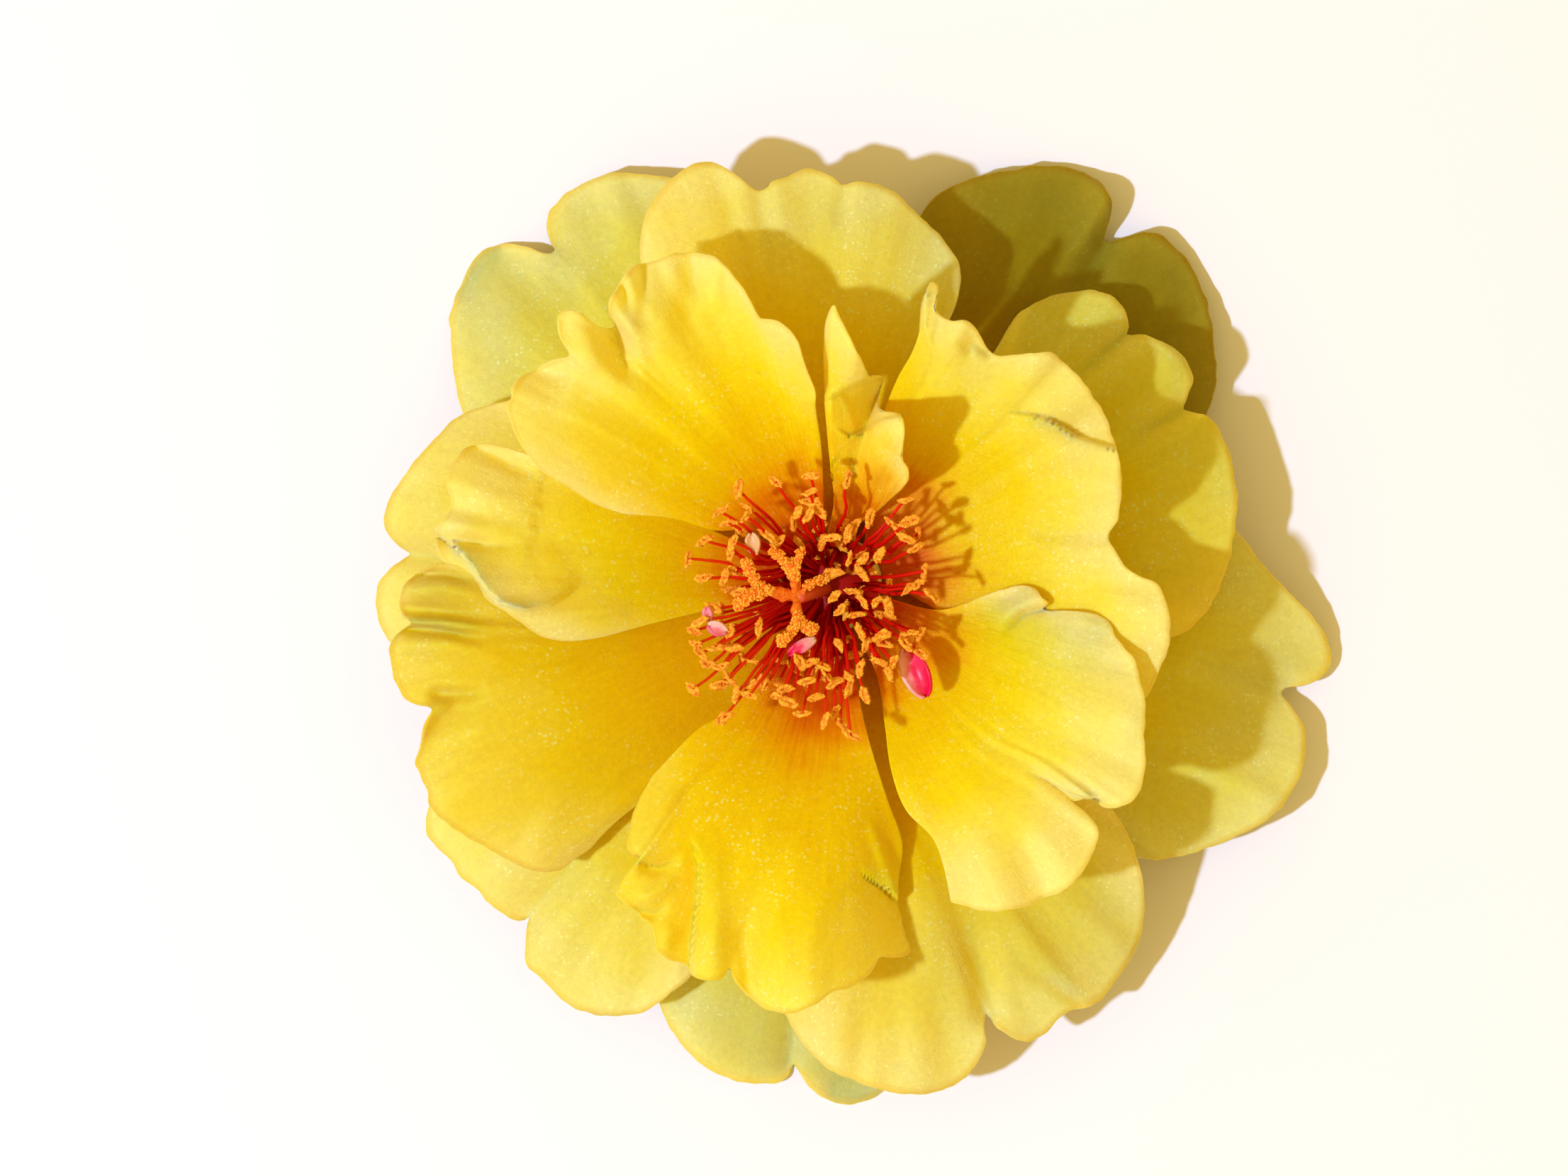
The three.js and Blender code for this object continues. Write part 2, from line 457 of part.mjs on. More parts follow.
// Slim stalk along points, with as many sides as asked, closed by flat ends.
function stalkGeometry(points, startRadius, endRadius, sides) {
  const curve = new THREE.CatmullRomCurve3(points.map((p) => new THREE.Vector3(...p)));
  const steps = points.length - 1;
  const frames = curve.computeFrenetFrames(steps);
  const vertices = [];
  for (let i = 0; i <= steps; i++) {
    const centre = curve.getPointAt(i / steps);
    const radius = lerp(startRadius, endRadius, i / steps);
    for (let k = 0; k < sides; k++) {
      const turn = (k / sides) * 2 * Math.PI;
      const ringPoint = centre
        .clone()
        .addScaledVector(frames.normals[i], radius * Math.cos(turn))
        .addScaledVector(frames.binormals[i], radius * Math.sin(turn));
      vertices.push(...ringPoint.toArray());
    }
  }
  const index = [];
  for (let i = 0; i < steps; i++) {
    for (let k = 0; k < sides; k++) {
      const a = i * sides + k;
      const b = i * sides + ((k + 1) % sides);
      index.push(a, b, a + sides, b, b + sides, a + sides);
    }
  }
  const end = steps * sides;
  for (let k = 1; k < sides - 1; k++) {
    index.push(0, k + 1, k);
    index.push(end, end + k, end + k + 1);
  }
  const stalk = new THREE.BufferGeometry();
  stalk.setAttribute("position", new THREE.Float32BufferAttribute(vertices, 3));
  stalk.setIndex(index);
  return stalk;
}

// ---- Calyx ----
// A sepal rises from the cup, broad and keeled, and lies along the underside of the petals.
function sepalGeometry(direction) {
  const angle = radians(direction);
  const rows = [];
  for (let i = 0; i <= SEPAL_STATIONS; i++) {
    const s = i / SEPAL_STATIONS;
    const out = lerp(SEPAL.foot, SEPAL.length, s);
    const half = SEPAL.halfWidth * Math.sqrt(Math.max(1 - (1.75 * s - 0.75) ** 2, 0.03));
    const row = [];
    for (let j = 0; j <= SEPAL_STATIONS; j++) {
      const across = 1 - (2 * j) / SEPAL_STATIONS;
      const y = across * half;
      const radius = out - SEPAL_CURL * y * y * s;
      const rise = lerp(SEPAL.footHeight, SEPAL.rimHeight, Math.sqrt(s));
      const height = rise - SEPAL.keel * (1 - across ** 2) * s;
      row.push([
        radius * Math.cos(angle) - y * Math.sin(angle),
        radius * Math.sin(angle) + y * Math.cos(angle),
        height,
      ]);
    }
    rows.push(row);
  }
  return bladeGeometry(rows);
}

// ---- Stamens ----
// Repeatable random numbers from 0 to 1.
function seededRandom(seed) {
  let state = seed;
  return () => {
    state = (Math.imul(state, 1664525) + 1013904223) >>> 0;
    return state / 2 ** 32;
  };
}

function bentStalk(root, tip) {
  const knee = [
    lerp(root[0], tip[0], STALK_KNEE.out),
    lerp(root[1], tip[1], STALK_KNEE.out),
    lerp(root[2], tip[2], STALK_KNEE.up),
  ];
  return stalkGeometry([root, knee, tip], STALK_RADIUS, STALK_RADIUS, STALK_SIDES);
}

function stamenGeometries() {
  const random = seededRandom(SEED);
  const scatter = () => TIP_SCATTER * (random() - 0.5);
  const pieces = [turned(DISC_PROFILE)];
  STALK_RINGS.forEach((ring, k) => {
    for (let n = 0; n < ring.count; n++) {
      const turn = ((n + k / 2) / ring.count) * 2 * Math.PI;
      const root = [ring.root * Math.cos(turn), ring.root * Math.sin(turn), STALK_ROOT_HEIGHT];
      const tip = [
        TIP_CENTRE[0] + ring.reach * Math.cos(turn) + scatter(),
        TIP_CENTRE[1] + ring.reach * Math.sin(turn) + scatter(),
        ring.height + scatter(),
      ];
      pieces.push(bentStalk(root, tip));
      const anther = new THREE.OctahedronGeometry(1);
      anther.scale(...ANTHER_SIZE);
      anther.rotateZ(random() * Math.PI);
      anther.translate(...tip);
      pieces.push(anther);
    }
  });
  for (const [x, y, direction, halfLength, halfWidth, height] of PETALOID_TIPS) {
    const turn = radians(direction);
    const end = [x - halfLength * Math.cos(turn), y - halfLength * Math.sin(turn), height];
    const share = PETALOID_ROOT / Math.hypot(end[0], end[1]);
    pieces.push(bentStalk([share * end[0], share * end[1], STALK_ROOT_HEIGHT], end));
    const tip = new THREE.SphereGeometry(1, 8, 6);
    tip.scale(halfLength, halfWidth, BLADE / 2);
    tip.rotateZ(turn);
    tip.translate(x, y, height);
    pieces.push(tip);
  }
  return pieces;
}

// ---- Pistil ----
function pistilGeometries() {
  const fork = STYLE_POINTS[STYLE_POINTS.length - 1];
  const pieces = [stalkGeometry(STYLE_POINTS, STYLE_RADIUS, STYLE_RADIUS, STYLE_SIDES)];
  for (const end of LOBE_ENDS) {
    const start = [fork[0], fork[1], fork[2] - LOBE_RADIUS / 2];
    const middle = start.map((value, axis) => lerp(value, end[axis], 0.5));
    middle[2] += LOBE_ARCH;
    pieces.push(stalkGeometry([start, middle, end], LOBE_RADIUS, LOBE_RADIUS, LOBE_SIDES));
  }
  return pieces;
}

// ---- Bloom ----
const bloom = new THREE.Group();

function addPiece(name, geometry, material) {
  const mesh = new THREE.Mesh(geometry, material);
  mesh.name = name;
  bloom.add(mesh);
}

for (const petal of PETALS) {
  addPiece(petal.name, petalGeometry(petal), petal.layer < 2 ? OUTER_YELLOW : INNER_YELLOW);
}
addPiece("receptacle", turned(RECEPTACLE_PROFILE), GREEN);
addPiece("calyx", joined([turned(CUP_PROFILE), ...SEPAL_DIRECTIONS.map(sepalGeometry)]), GREEN);
addPiece("stamens", joined(stamenGeometries()), STAMEN_RED);
addPiece("pistil", joined(pistilGeometries()), POLLEN_ORANGE);

export default bloom;
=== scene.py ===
# %% [markdown]
# # A double portulaca bloom
# A portulaca bloom is a stack of thin, silky petals round a tuft of stamens. Every petal is a
# single curved sheet, so each is one grid of points with a height worked out by a formula. The
# tuft is one stalk and one anther repeated many times, which is work for Geometry Nodes.
#
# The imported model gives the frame: the pieces' names and boxes, in metres, +Z up.

# %% Load the frame
import math
import random
from functools import partial

import bmesh
import bpy
import numpy as np
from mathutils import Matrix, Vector, noise


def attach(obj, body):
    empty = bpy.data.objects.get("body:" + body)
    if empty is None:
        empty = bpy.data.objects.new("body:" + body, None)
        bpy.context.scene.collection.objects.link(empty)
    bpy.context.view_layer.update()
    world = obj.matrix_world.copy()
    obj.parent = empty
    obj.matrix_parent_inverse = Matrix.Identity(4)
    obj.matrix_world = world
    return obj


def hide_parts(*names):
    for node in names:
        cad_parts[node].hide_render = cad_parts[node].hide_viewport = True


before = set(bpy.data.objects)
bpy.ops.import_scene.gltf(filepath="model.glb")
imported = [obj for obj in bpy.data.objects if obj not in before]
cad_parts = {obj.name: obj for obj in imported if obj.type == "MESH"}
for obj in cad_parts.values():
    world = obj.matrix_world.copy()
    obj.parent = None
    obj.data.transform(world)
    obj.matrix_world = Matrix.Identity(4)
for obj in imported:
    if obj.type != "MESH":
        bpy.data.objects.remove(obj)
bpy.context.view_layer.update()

MM = 0.001  # the tables below are in millimetres
BODY = "root"

# %% [markdown]
# ## The camera
# The bloom is looked at from straight above through a very long lens, which keeps the high
# inner petals from looking larger than the low outer ones. The picture is 2212 x 1659.

# %% Camera
VIEW_WIDTH = 97.9 * MM  # what the picture spans at the petals' height
VIEW_CENTRE = (-3.06 * MM, -0.33 * MM)
VIEW_HEIGHT = 8 * MM  # height above the surface at which that width holds

camera_data = bpy.data.cameras.new("camera")
camera_data.lens = 400
camera_data.sensor_width = 36
camera_data.clip_start = 0.01
camera = bpy.data.objects.new("camera", camera_data)
camera_distance = VIEW_WIDTH * camera_data.lens / camera_data.sensor_width
camera.location = (*VIEW_CENTRE, VIEW_HEIGHT + camera_distance)
bpy.context.scene.collection.objects.link(camera)
bpy.context.scene.camera = camera
print("camera", round(camera_distance, 3), "m above the petals")

# %% [markdown]
# ## The petals' table
# The same driving table as the solid part has, with more points. Heights are given for five
# layers, counted from 0, and a petal at 2.4 lies between the layers 2 and 3. Each petal has its
# outline in plan. A smooth curve through the rim's points gives the rounded lobes and sharp
# notches of a real petal. Folds are listed from the rim inwards, and die out at their inner end.

# %% Layers and petals, in mm
LAYERS = [  # [distance from the axis, height] pairs for each layer, lowest first
    [[3, 4], [8, 4.8], [15, 4.9], [20, 4], [25, 2.4], [29, 1.1], [34, 0.4]],
    [[3, 5.1], [8, 6.2], [15, 7.3], [20, 7.2], [25, 6], [29, 4.9], [34, 3.6]],
    [[3, 6.2], [8, 7.7], [15, 9.8], [20, 10.7], [25, 10.5], [29, 9.9], [34, 9]],
    [[3, 7.3], [8, 9.2], [15, 12.3], [20, 14.2], [25, 15], [29, 15.2], [34, 15.2]],
    [[3, 8.4], [8, 10.7], [15, 15], [20, 18], [25, 20.2], [29, 21.5], [34, 22.5]],
]

# foot: direction in degrees. half: half the foot's width. left and right: the two sides, from the
# foot to the rim's ends. rim: [x, y, lift above the layer], clockwise.
# folds: [height, half width, path]. lips: [height, width of the slope, path], where the ground
# on the path's left is raised, or lowered if the height is negative.
# painted_shade: how much painted shade darkens a petal where the light falls less on it.
# painted_light_paleness: by what share the rim's pale tones reach further in, as painted light,
# or less far if negative, as painted shade. glow: mm by which the orange throat reaches further.
PETALS = [
    {"name": "outer_petal_1", "layer": 0, "foot": 132, "half": 1.3,
     "left": [[-6, 3.2], [-12, 6.2]],
     "rim": [
         [-22, 9.6, 0.4], [-23.1, 10.5, 0.5], [-23.7, 12.7, 0.3], [-24, 15.4, -0.2],
         [-24.05, 16.8, -0.5], [-23.4, 18.7, -0.9], [-22.5, 20.4, -1], [-21.7, 21.05, -1],
         [-20.5, 21.3, -0.6], [-19.3, 21.1, 0], [-18.4, 20.75, 0.5], [-17.8, 20.65, 0.7],
         [-17.5, 20.85, 0.8], [-17.75, 21.5, 0.7], [-17.95, 22.4, 0.4], [-17.8, 23.3, 0.1],
         [-16.9, 24.3, 0], [-15.4, 25.2, 0.2], [-13.6, 25.7, 0.6], [-11, 25.5, 0.8], [-8.5, 25, 0.4],
         [-6.5, 23.4, 0],
     ],
     "right": [[-4, 9], [-6, 17]],
     "folds": [
         [-0.96, 1.1, [-17.5, 20.9], [-16.2, 18.6], [-14.6, 16]], [0.8, 1.8, [-20.8, 17], [-14.5, 12]],
         [0.56, 1.1, [-14, 25], [-12, 19]],
     ]},
    # This petal is darkened all over by painted shade, which stands for a shadow falling on it.
    {"name": "outer_petal_2", "layer": 0, "foot": 52, "half": 1.3, "painted_shade": 1,
     "left": [[3.2, 7], [4.5, 14]],
     "rim": [
         [5.2, 22.3, 0], [5.9, 23.65, 0.3], [7.2, 24.75, 0.7], [9.1, 25.5, 0.5], [11.1, 25.9, 0],
         [12.5, 26.15, -0.1], [14.3, 26.15, -0.1], [15.4, 25.9, 0.2], [16.6, 25.3, 0.6],
         [17.3, 24.5, 0.9], [17.45, 23.5, 0.8], [17.2, 22.3, 0.5], [17, 21.5, 0.3], [17.5, 21.4, 0.4],
         [18.6, 21.8, 0.6], [19.9, 22, 0.7], [20.6, 21.85, 0.6], [21.3, 21.15, 0.4], [22.4, 20, 0],
         [23.3, 18, 0.2], [23.7, 16.4, 0.5], [24, 13.8, 0.6], [24, 12.5, 0.4], [23.4, 10.4, 0],
     ],
     "right": [[7, 2.8], [13, 4.8], [19, 7.4]],
     "folds": [
         [-1.12, 1, [17, 21.4], [16.1, 20], [14, 17.5]], [0.8, 0.9, [17.2, 24.6], [15.6, 20.6]],
         [0.64, 1.8, [20.6, 17], [14, 12]],
     ]},
    {"name": "outer_petal_3", "layer": 0.35, "foot": -13, "half": 1.3,
     "left": [[10, 1], [17, 2.8]],
     "rim": [
         [22.5, 4.2, -0.8], [25.1, 3.4, -0.4], [26.6, 1.55, 0], [28.1, -0.1, 0.2], [30.1, -2.1, -0.4],
         [30.9, -3.2, -0.8], [31.3, -4.6, -1], [30.9, -5.8, -0.8], [29.9, -6.4, -0.3],
         [28.5, -6.6, 0.3], [28.15, -7, 0.4], [28.8, -7.8, 0.3], [29.5, -8.9, 0.1], [29.7, -10.5, 0.1],
         [29.4, -12.1, 0.5], [28.4, -13.8, 0.8], [26.9, -15.1, 0.7], [24.9, -16.2, 0.4],
         [22.6, -17, 0.2], [20.4, -17.4, 0.4], [18.5, -17.2, 0],
     ],
     "right": [[5.5, -3.6], [9, -7.5], [13, -12]],
     "folds": [
         [-1.12, 1.1, [28.2, -6.9], [25, -6], [22, -5.2]], [0.64, 1.8, [26, -2], [17, -2.2]],
         [0.56, 1, [27, -13.5], [20, -9.5]],
     ]},
    {"name": "outer_petal_4", "layer": 0, "foot": -95, "half": 1.3,
     "left": [[2.2, -8], [4.5, -16], [6, -24]],
     "rim": [
         [6.2, -29, 0], [5, -31.2, -0.4], [3.2, -32, -0.8], [2, -32.65, -1], [0.9, -32.8, -1],
         [-0.2, -32.6, -0.8], [-1.3, -31.9, -0.2], [-2.1, -30.8, 0.4], [-2.5, -30.25, 0.5],
         [-2.8, -31, 0.3], [-3.4, -31.4, 0.2], [-5, -31.5, 0.2], [-7, -31, 0.6], [-8.6, -30, 0.8],
         [-9.9, -28.5, 0.5], [-10.9, -26.5, 0.2], [-11.3, -24, 0],
     ],
     "right": [[-3, -8], [-6.5, -15], [-9.5, -20]],
     "folds": [[-1.12, 1.1, [-2.5, -30.2], [-2.2, -25]]]},
    {"name": "outer_petal_5", "layer": 1, "foot": 173, "half": 1.2, "painted_shade": 0.12,
     "left": [[-7, -2], [-14, -4.3], [-20, -5.6]],
     "rim": [
         [-25.5, -5.6, 0], [-27.6, -3.95, -0.3], [-28.45, -2.2, 0], [-28.6, -1.2, 0.3], [-28.4, 0, 0.6],
         [-27.7, 0.9, 0.6], [-26.8, 1.5, 0.4], [-26.4, 1.8, 0.2], [-27.1, 2.3, 0.8], [-28, 3.4, 1.2],
         [-28.05, 4.2, 1.3], [-27.5, 5.6, 1.6], [-26.5, 7.1, 1.9], [-25.2, 8.7, 1.5],
         [-23.7, 10.2, 0.6], [-22.5, 10.85, 0.2], [-20.2, 11.4, 0],
     ],
     "right": [[-7, 4.6], [-12, 8], [-17, 10.6]],
     "folds": [[-0.96, 0.9, [-26.4, 1.8], [-22, 1.6]], [0.56, 1.2, [-27, 4.5], [-21, 5]]]},
    {"name": "outer_petal_6", "layer": 1.3, "foot": 98, "half": 1.2, "painted_shade": 0.06,
     "left": [[-4, 8], [-8, 13.5]],
     "rim": [
         [-11.4, 18, 0], [-12.1, 20.4, 0.3], [-12.05, 21.8, 0.6], [-11.5, 23.5, 0.8],
         [-10.8, 24.55, 0.7], [-9.6, 25.65, 0.3], [-8.6, 26.2, -0.2], [-7.7, 26.3, -0.4],
         [-6.7, 25.9, 0], [-5.4, 24.95, 0.4], [-4.7, 24.5, 0.6], [-4.1, 24.65, 0.6], [-3.9, 25.05, 0.5],
         [-2.9, 25.4, 0], [-2.2, 25.8, -0.2], [-1.4, 25.8, -0.3], [0, 25.35, 0], [0.6, 24.85, 0.2],
         [1.7, 25.05, 0.5], [3.1, 24.7, 0], [4.1, 24.15, -0.2], [4.9, 23.3, -0.5], [6.3, 22, -0.6],
         [7.2, 21, -0.3], [7.8, 19.9, 0], [7.95, 18.7, 0], [7.7, 17.5, 0.3], [7.2, 16.4, 0],
     ],
     "right": [[2.4, 6], [4.4, 10], [6, 13.4]],
     "folds": [
         [-0.96, 0.8, [-4.6, 24.5], [-4.2, 21.5], [-3.4, 19]], [-0.64, 0.6, [0.6, 24.8], [0.3, 22]],
         [0.48, 1.2, [-8.5, 25.5], [-7, 20]], [0.48, 1.2, [3.5, 24], [2.5, 19.5]],
     ]},
    {"name": "outer_petal_7", "layer": 0.8, "foot": 25, "half": 1.2, "painted_light_paleness": -0.14,
     "left": [[5.2, 5.2], [8, 9.6]],
     "rim": [
         [10.1, 14.4, 0], [11.5, 16.7, -0.3], [12.6, 17.5, -1], [14.2, 18.1, -1.2], [16, 18.3, -0.8],
         [17, 18.2, -0.3], [17.8, 17.65, 0.1], [18.4, 16.8, 0], [18.5, 16, 0], [18.35, 15.6, 0],
         [19.4, 15.55, 0.2], [20.6, 15.05, 0.5], [21.7, 14.3, 0.7], [22.3, 13.5, 0.6],
         [22.5, 12.7, 0.5], [22.2, 11.7, 0.2], [21.9, 10.85, 0], [22.7, 10.65, 0], [23.5, 10.45, 0],
         [24.1, 9.7, -0.2], [24.8, 8.1, -0.3], [25.2, 6.2, 0.1], [25.3, 5.2, 0.3], [25.1, 3.2, 0.5],
         [24.7, 1.2, 0.2], [24, -0.6, 0.1], [23.1, -2.1, 0.4], [22.1, -3, 0.4], [21, -3.4, 0],
     ],
     "right": [[8, -1.6], [14, -3.2]],
     "folds": [
         [-1.12, 0.9, [18.4, 15.6], [14.2, 12]], [-0.96, 0.9, [22, 10.8], [17.5, 8.8]],
         [0.64, 1.2, [21, 13.5], [17, 10.5]],
     ]},
    {"name": "outer_petal_8", "layer": 1.3, "foot": -67, "half": 1.2, "painted_shade": 0.08,
     "left": [[5.5, -6], [10, -9.5]],
     "rim": [
         [15.6, -12.4, 0], [17.2, -13.9, 0.3], [18.3, -15.5, 0], [19, -17.2, -0.1], [19.4, -18.8, -0.9],
         [19.5, -20.3, -1.6], [19.3, -22, -2.1], [18.5, -23.8, -2.3], [17.6, -25.1, -2.1],
         [16.5, -26.35, -1.7], [15.8, -26.6, -0.8], [14.8, -26.8, -0.6], [14.1, -27.3, -0.7],
         [13.2, -28.3, -1], [12.1, -28.75, -1], [11.1, -28.4, -0.5], [10.2, -27.8, 0.1],
         [9.55, -26.95, 0.2], [9.45, -27.8, 0.3], [9.55, -28.8, 0.2], [9.1, -29.9, 0],
         [8.2, -31.1, -0.4], [7.3, -31.6, -0.5], [5.8, -32, -0.3], [4, -31.95, 0.2], [1.9, -31.4, 0.7],
         [-0.3, -30.4, 0.6], [-1.6, -29.2, 0.2], [-2.8, -27.4, 0], [-3.9, -25, 0],
     ],
     "right": [[-0.6, -7], [-2.4, -13], [-3.6, -19]],
     "folds": [
         [-1.44, 1, [9.6, -27], [9, -24], [8, -21]],
         [-0.8, 0.5, [15.4, -26.2], [13, -24.6], [11, -23.4]], [0.64, 1.1, [17.6, -22.5], [12, -18]],
         [0.72, 1.3, [5.5, -31], [5, -24]], [1.2, 2.2, [5.4, -23], [5, -18], [4.4, -14]],
         [-0.48, 0.8, [1.5, -31], [2, -25]],
     ]},
    {"name": "outer_petal_9", "layer": 1, "foot": -129, "half": 1.2, "painted_shade": 0.08,
     "left": [[-4, -8.5], [-6.8, -15.5]],
     "rim": [
         [-8.4, -22.5, 0], [-8.9, -24.6, 0.5], [-10.2, -25.75, 0.8], [-11.6, -26.75, 0.4],
         [-12.8, -27.1, 0], [-14, -27.2, -0.4], [-15.3, -27, -0.5], [-16.6, -26.4, -0.3],
         [-18, -25.15, 0.2], [-18.5, -24.6, 0.4], [-19.2, -23.9, 0.6], [-19.3, -22.6, 0.6],
         [-19.15, -21.4, 0.3], [-19, -20.95, 0.1], [-19.5, -21.2, 0.1], [-20.2, -21.05, 0.1],
         [-21.6, -20, 0.5], [-22, -19.4, 0.6], [-23.3, -18.4, 0.6], [-24, -17.4, 0.4],
         [-25, -16.3, 0.1], [-25.5, -15.5, 0], [-25.2, -13.5, 0], [-24, -11.8, 0],
     ],
     "right": [[-6.4, -4.6], [-12, -7], [-19, -9.6]],
     "folds": [[-1.28, 1.1, [-19, -21], [-15, -17]], [0.56, 1.3, [-14, -26], [-12, -20]]]},
    {"name": "inner_petal_1", "layer": 3.5, "foot": 126, "half": 1.4,
     "left": [[-5, 3.2], [-7.5, 3.3], [-9.8, 4]],
     "rim": [
         [-13.1, 4.3, 0.2], [-14.7, 4.85, 0.4], [-16.5, 5.95, 0.8], [-18.1, 6.95, 0.9],
         [-18.8, 7.8, 0.7], [-19.6, 9, 0.4], [-20.2, 10.4, 0.1], [-20.3, 11, 0], [-19.95, 11.5, 0],
         [-19.95, 12, 0.2], [-19.5, 12.6, -0.2], [-18.5, 13.2, -0.7], [-17.5, 13.8, -0.7],
         [-16.3, 14.1, 0.9], [-16.75, 14.8, 1.5], [-17, 15.6, 1.5], [-17.05, 16.5, 1.1],
         [-16.5, 16.85, 0.6], [-15.7, 16.75, 0.5], [-15.15, 16.2, 0.2], [-14.3, 15.8, 0],
         [-13.5, 16, -0.2], [-13.9, 16.7, 0.3], [-13.95, 17.4, 0.6], [-13.3, 18.3, 0], [-13, 19, -0.6],
         [-12.4, 19.65, -1.8], [-11.5, 19.9, -2.8], [-10.6, 20.1, -3], [-9.7, 20.45, -3.1],
         [-8.7, 20.45, -2.6], [-7.5, 20.3, -2], [-6.6, 19.5, -1.3], [-6.05, 18.8, -0.4],
         [-5.5, 18.1, 0.7], [-5.2, 17.5, 1.1], [-4.95, 17, 1.6], [-4.6, 16.4, 1.9], [-3.8, 16.25, 2.8],
         [-2.9, 15.8, 4], [-2.3, 15.05, 5], [-2, 14.1, 5.3], [-1.6, 12.9, 5],
     ],
     "right": [[-0.6, 5.6], [-0.75, 8.6], [-1.1, 10.8], [-1.15, 11.8]],
     "folds": [
         [-1.6, 0.65, [-13.7, 16], [-13.6, 15], [-13.2, 13.8], [-12.4, 12.2]],
         [0.88, 0.45, [-13.1, 16.3], [-12.2, 15], [-11.5, 13.4]],
         [-0.8, 0.4, [-13.2, 18.6], [-12.8, 17.4], [-13, 16]],
         [-0.8, 0.45, [-12, 19.6], [-11.8, 17.8], [-12, 15.8]],
         [0.6, 0.8, [-10, 20.3], [-10.2, 17.5], [-10.4, 14.5]],
         [-0.4, 0.6, [-8.7, 20.2], [-8.8, 17.5], [-9, 15.5]], [0.56, 0.7, [-7.3, 19.8], [-7.5, 16.5]],
         [1.1, 0.8, [-16, 16.8], [-15.2, 15.2], [-14.6, 13.2]],
         [-1.5, 0.8, [-18.7, 13.3], [-17.4, 12.9], [-16.2, 12.5]],
         [-0.56, 0.9, [-19.2, 12.2], [-16.5, 11]], [0.8, 1.8, [-18, 8.5], [-11, 7.2]],
         [0.5, 0.4, [-1.2, 11.4], [-2.2, 11.3]], [-1.3, 2.2, [-14.2, 15], [-11, 11.5], [-8, 8.5]],
     ],
     "lips": [[0.3, 1.2, [-3.3, 12.7], [-5, 12.9], [-6.4, 12.95]]]},
    {"name": "inner_petal_2", "layer": 2.8, "foot": 176, "half": 1.3,
     "left": [[-6.5, -1.4], [-9.1, -2], [-11.6, -2.6]],
     "rim": [
         [-14.2, -3.3, 0], [-15.5, -3.55, 0.2], [-17, -3.6, 0.4], [-18.2, -3.3, 0.4],
         [-19.4, -2.45, 0.4], [-20.4, -1.75, 0.5], [-21.1, -1.35, 0.7], [-21.7, -0.8, 0.8],
         [-22, -0.1, 0.8], [-22.6, 0.6, 0.8], [-23.4, 1.1, 0.9], [-24.2, 1.3, 1], [-24.55, 2, 0.9],
         [-24.75, 2.8, 0.5], [-24.65, 3.4, 0.4], [-24.1, 4, 0.6], [-23.8, 4.6, 0.7], [-23.75, 5.3, 0.8],
         [-24, 6, 0.9], [-23.95, 6.8, 0.8], [-23.5, 7.7, 0.5], [-22.9, 8.35, 0.2], [-21.8, 8.65, 0.1],
         [-20.6, 8.45, 0], [-19.5, 8.15, 0], [-16, 7, 0],
     ],
     "right": [[-6, 2.6], [-11, 5]],
     "folds": [
         [-0.7, 0.3, [-24.5, 2.7], [-22.4, 2.35], [-19.5, 2.3]],
         [0.7, 0.5, [-21.2, -1.7], [-19, -1.5], [-16.2, -0.1]],
         [0.96, 0.9, [-19.8, -2.2], [-16.5, -2], [-12.5, -1.7]],
         [0.8, 0.6, [-24.5, 3.8], [-22, 3.3], [-19, 3]],
         [-1.12, 0.45, [-24.7, 2.8], [-23.4, 2.7], [-21, 2.4]],
         [0.8, 1, [-23.6, 6.2], [-21, 5.2], [-18, 4.2]],
         [-1.5, 0.7, [-22.2, 8.5], [-20.3, 7.6], [-18.4, 6.6]],
     ],
     "lips": [
         [2, 3.2, [-23.4, 2.2], [-22.4, 1.2], [-21.6, -0.2], [-20.6, -1.2], [-19.2, -1.6],
          [-17.6, -1.2], [-15.6, 0.2]],
     ]},
    {"name": "inner_petal_3", "layer": 2, "foot": -157, "half": 1.3, "painted_shade": 0.33, "painted_light_paleness": -0.1,
     "glow": -2,
     "left": [[-4.7, -5.6], [-7.6, -9.9], [-10.2, -12.4], [-13, -14.4], [-14.4, -15.7]],
     "rim": [
         [-15.1, -16.5, -1.8], [-16.1, -17.15, -1.7], [-17, -17.85, -1.4], [-18, -17.95, -1.1],
         [-19.2, -17.75, -1], [-20.6, -17.1, -0.6], [-22, -16.3, 0], [-23.4, -15.5, 0.6],
         [-24.4, -14.6, 0.8], [-25.1, -13.9, 0.8], [-25.2, -13.1, 0.8], [-25.7, -12, 0.8],
         [-26, -11.3, 0.7], [-25.8, -10.4, 1.2], [-25.4, -8.9, 1.6], [-25, -7.75, 2], [-26, -7.55, 2],
         [-26.8, -7, 1.9], [-27.3, -5.9, 1.6], [-27.55, -4.6, 1.7], [-27.5, -3.8, 1.8],
         [-26.9, -3, 1.2], [-26.2, -2.5, 1.3], [-26.75, -2.1, 0.5], [-26.95, -1.4, 0.3],
         [-26.75, -0.3, 0.5], [-26, 0.45, 0.5], [-25, 1.05, 0.3], [-24, 1.3, 0], [-22, 1.3, 0],
     ],
     "right": [[-8, -0.9], [-15, -0.4]],
     "folds": [
         [-1.4, 0.35, [-25.9, 0.5], [-24.2, 0.55], [-22.2, 0.1]],
         [1, 0.6, [-26.4, -0.5], [-24, -0.4], [-21.5, -0.9]],
         [-1.1, 0.4, [-26.8, -1.6], [-25, -1.8], [-21.5, -2]],
         [0.9, 0.35, [-26.2, -2.3], [-24.5, -2.35], [-21, -2.9]],
         [-1.2, 0.35, [-26.3, -2.85], [-24.3, -3.05], [-21.3, -3.8]],
         [0.7, 0.7, [-26.6, -3.8], [-24, -3.8], [-20, -4.8]],
         [-1.2, 0.5, [-24.6, -6.9], [-23.3, -7], [-21.5, -6.8]],
         [1.4, 0.4, [-25.6, -9.2], [-24.9, -8], [-23.8, -7.5]], [-0.48, 0.6, [-25, -9.8], [-22, -8.6]],
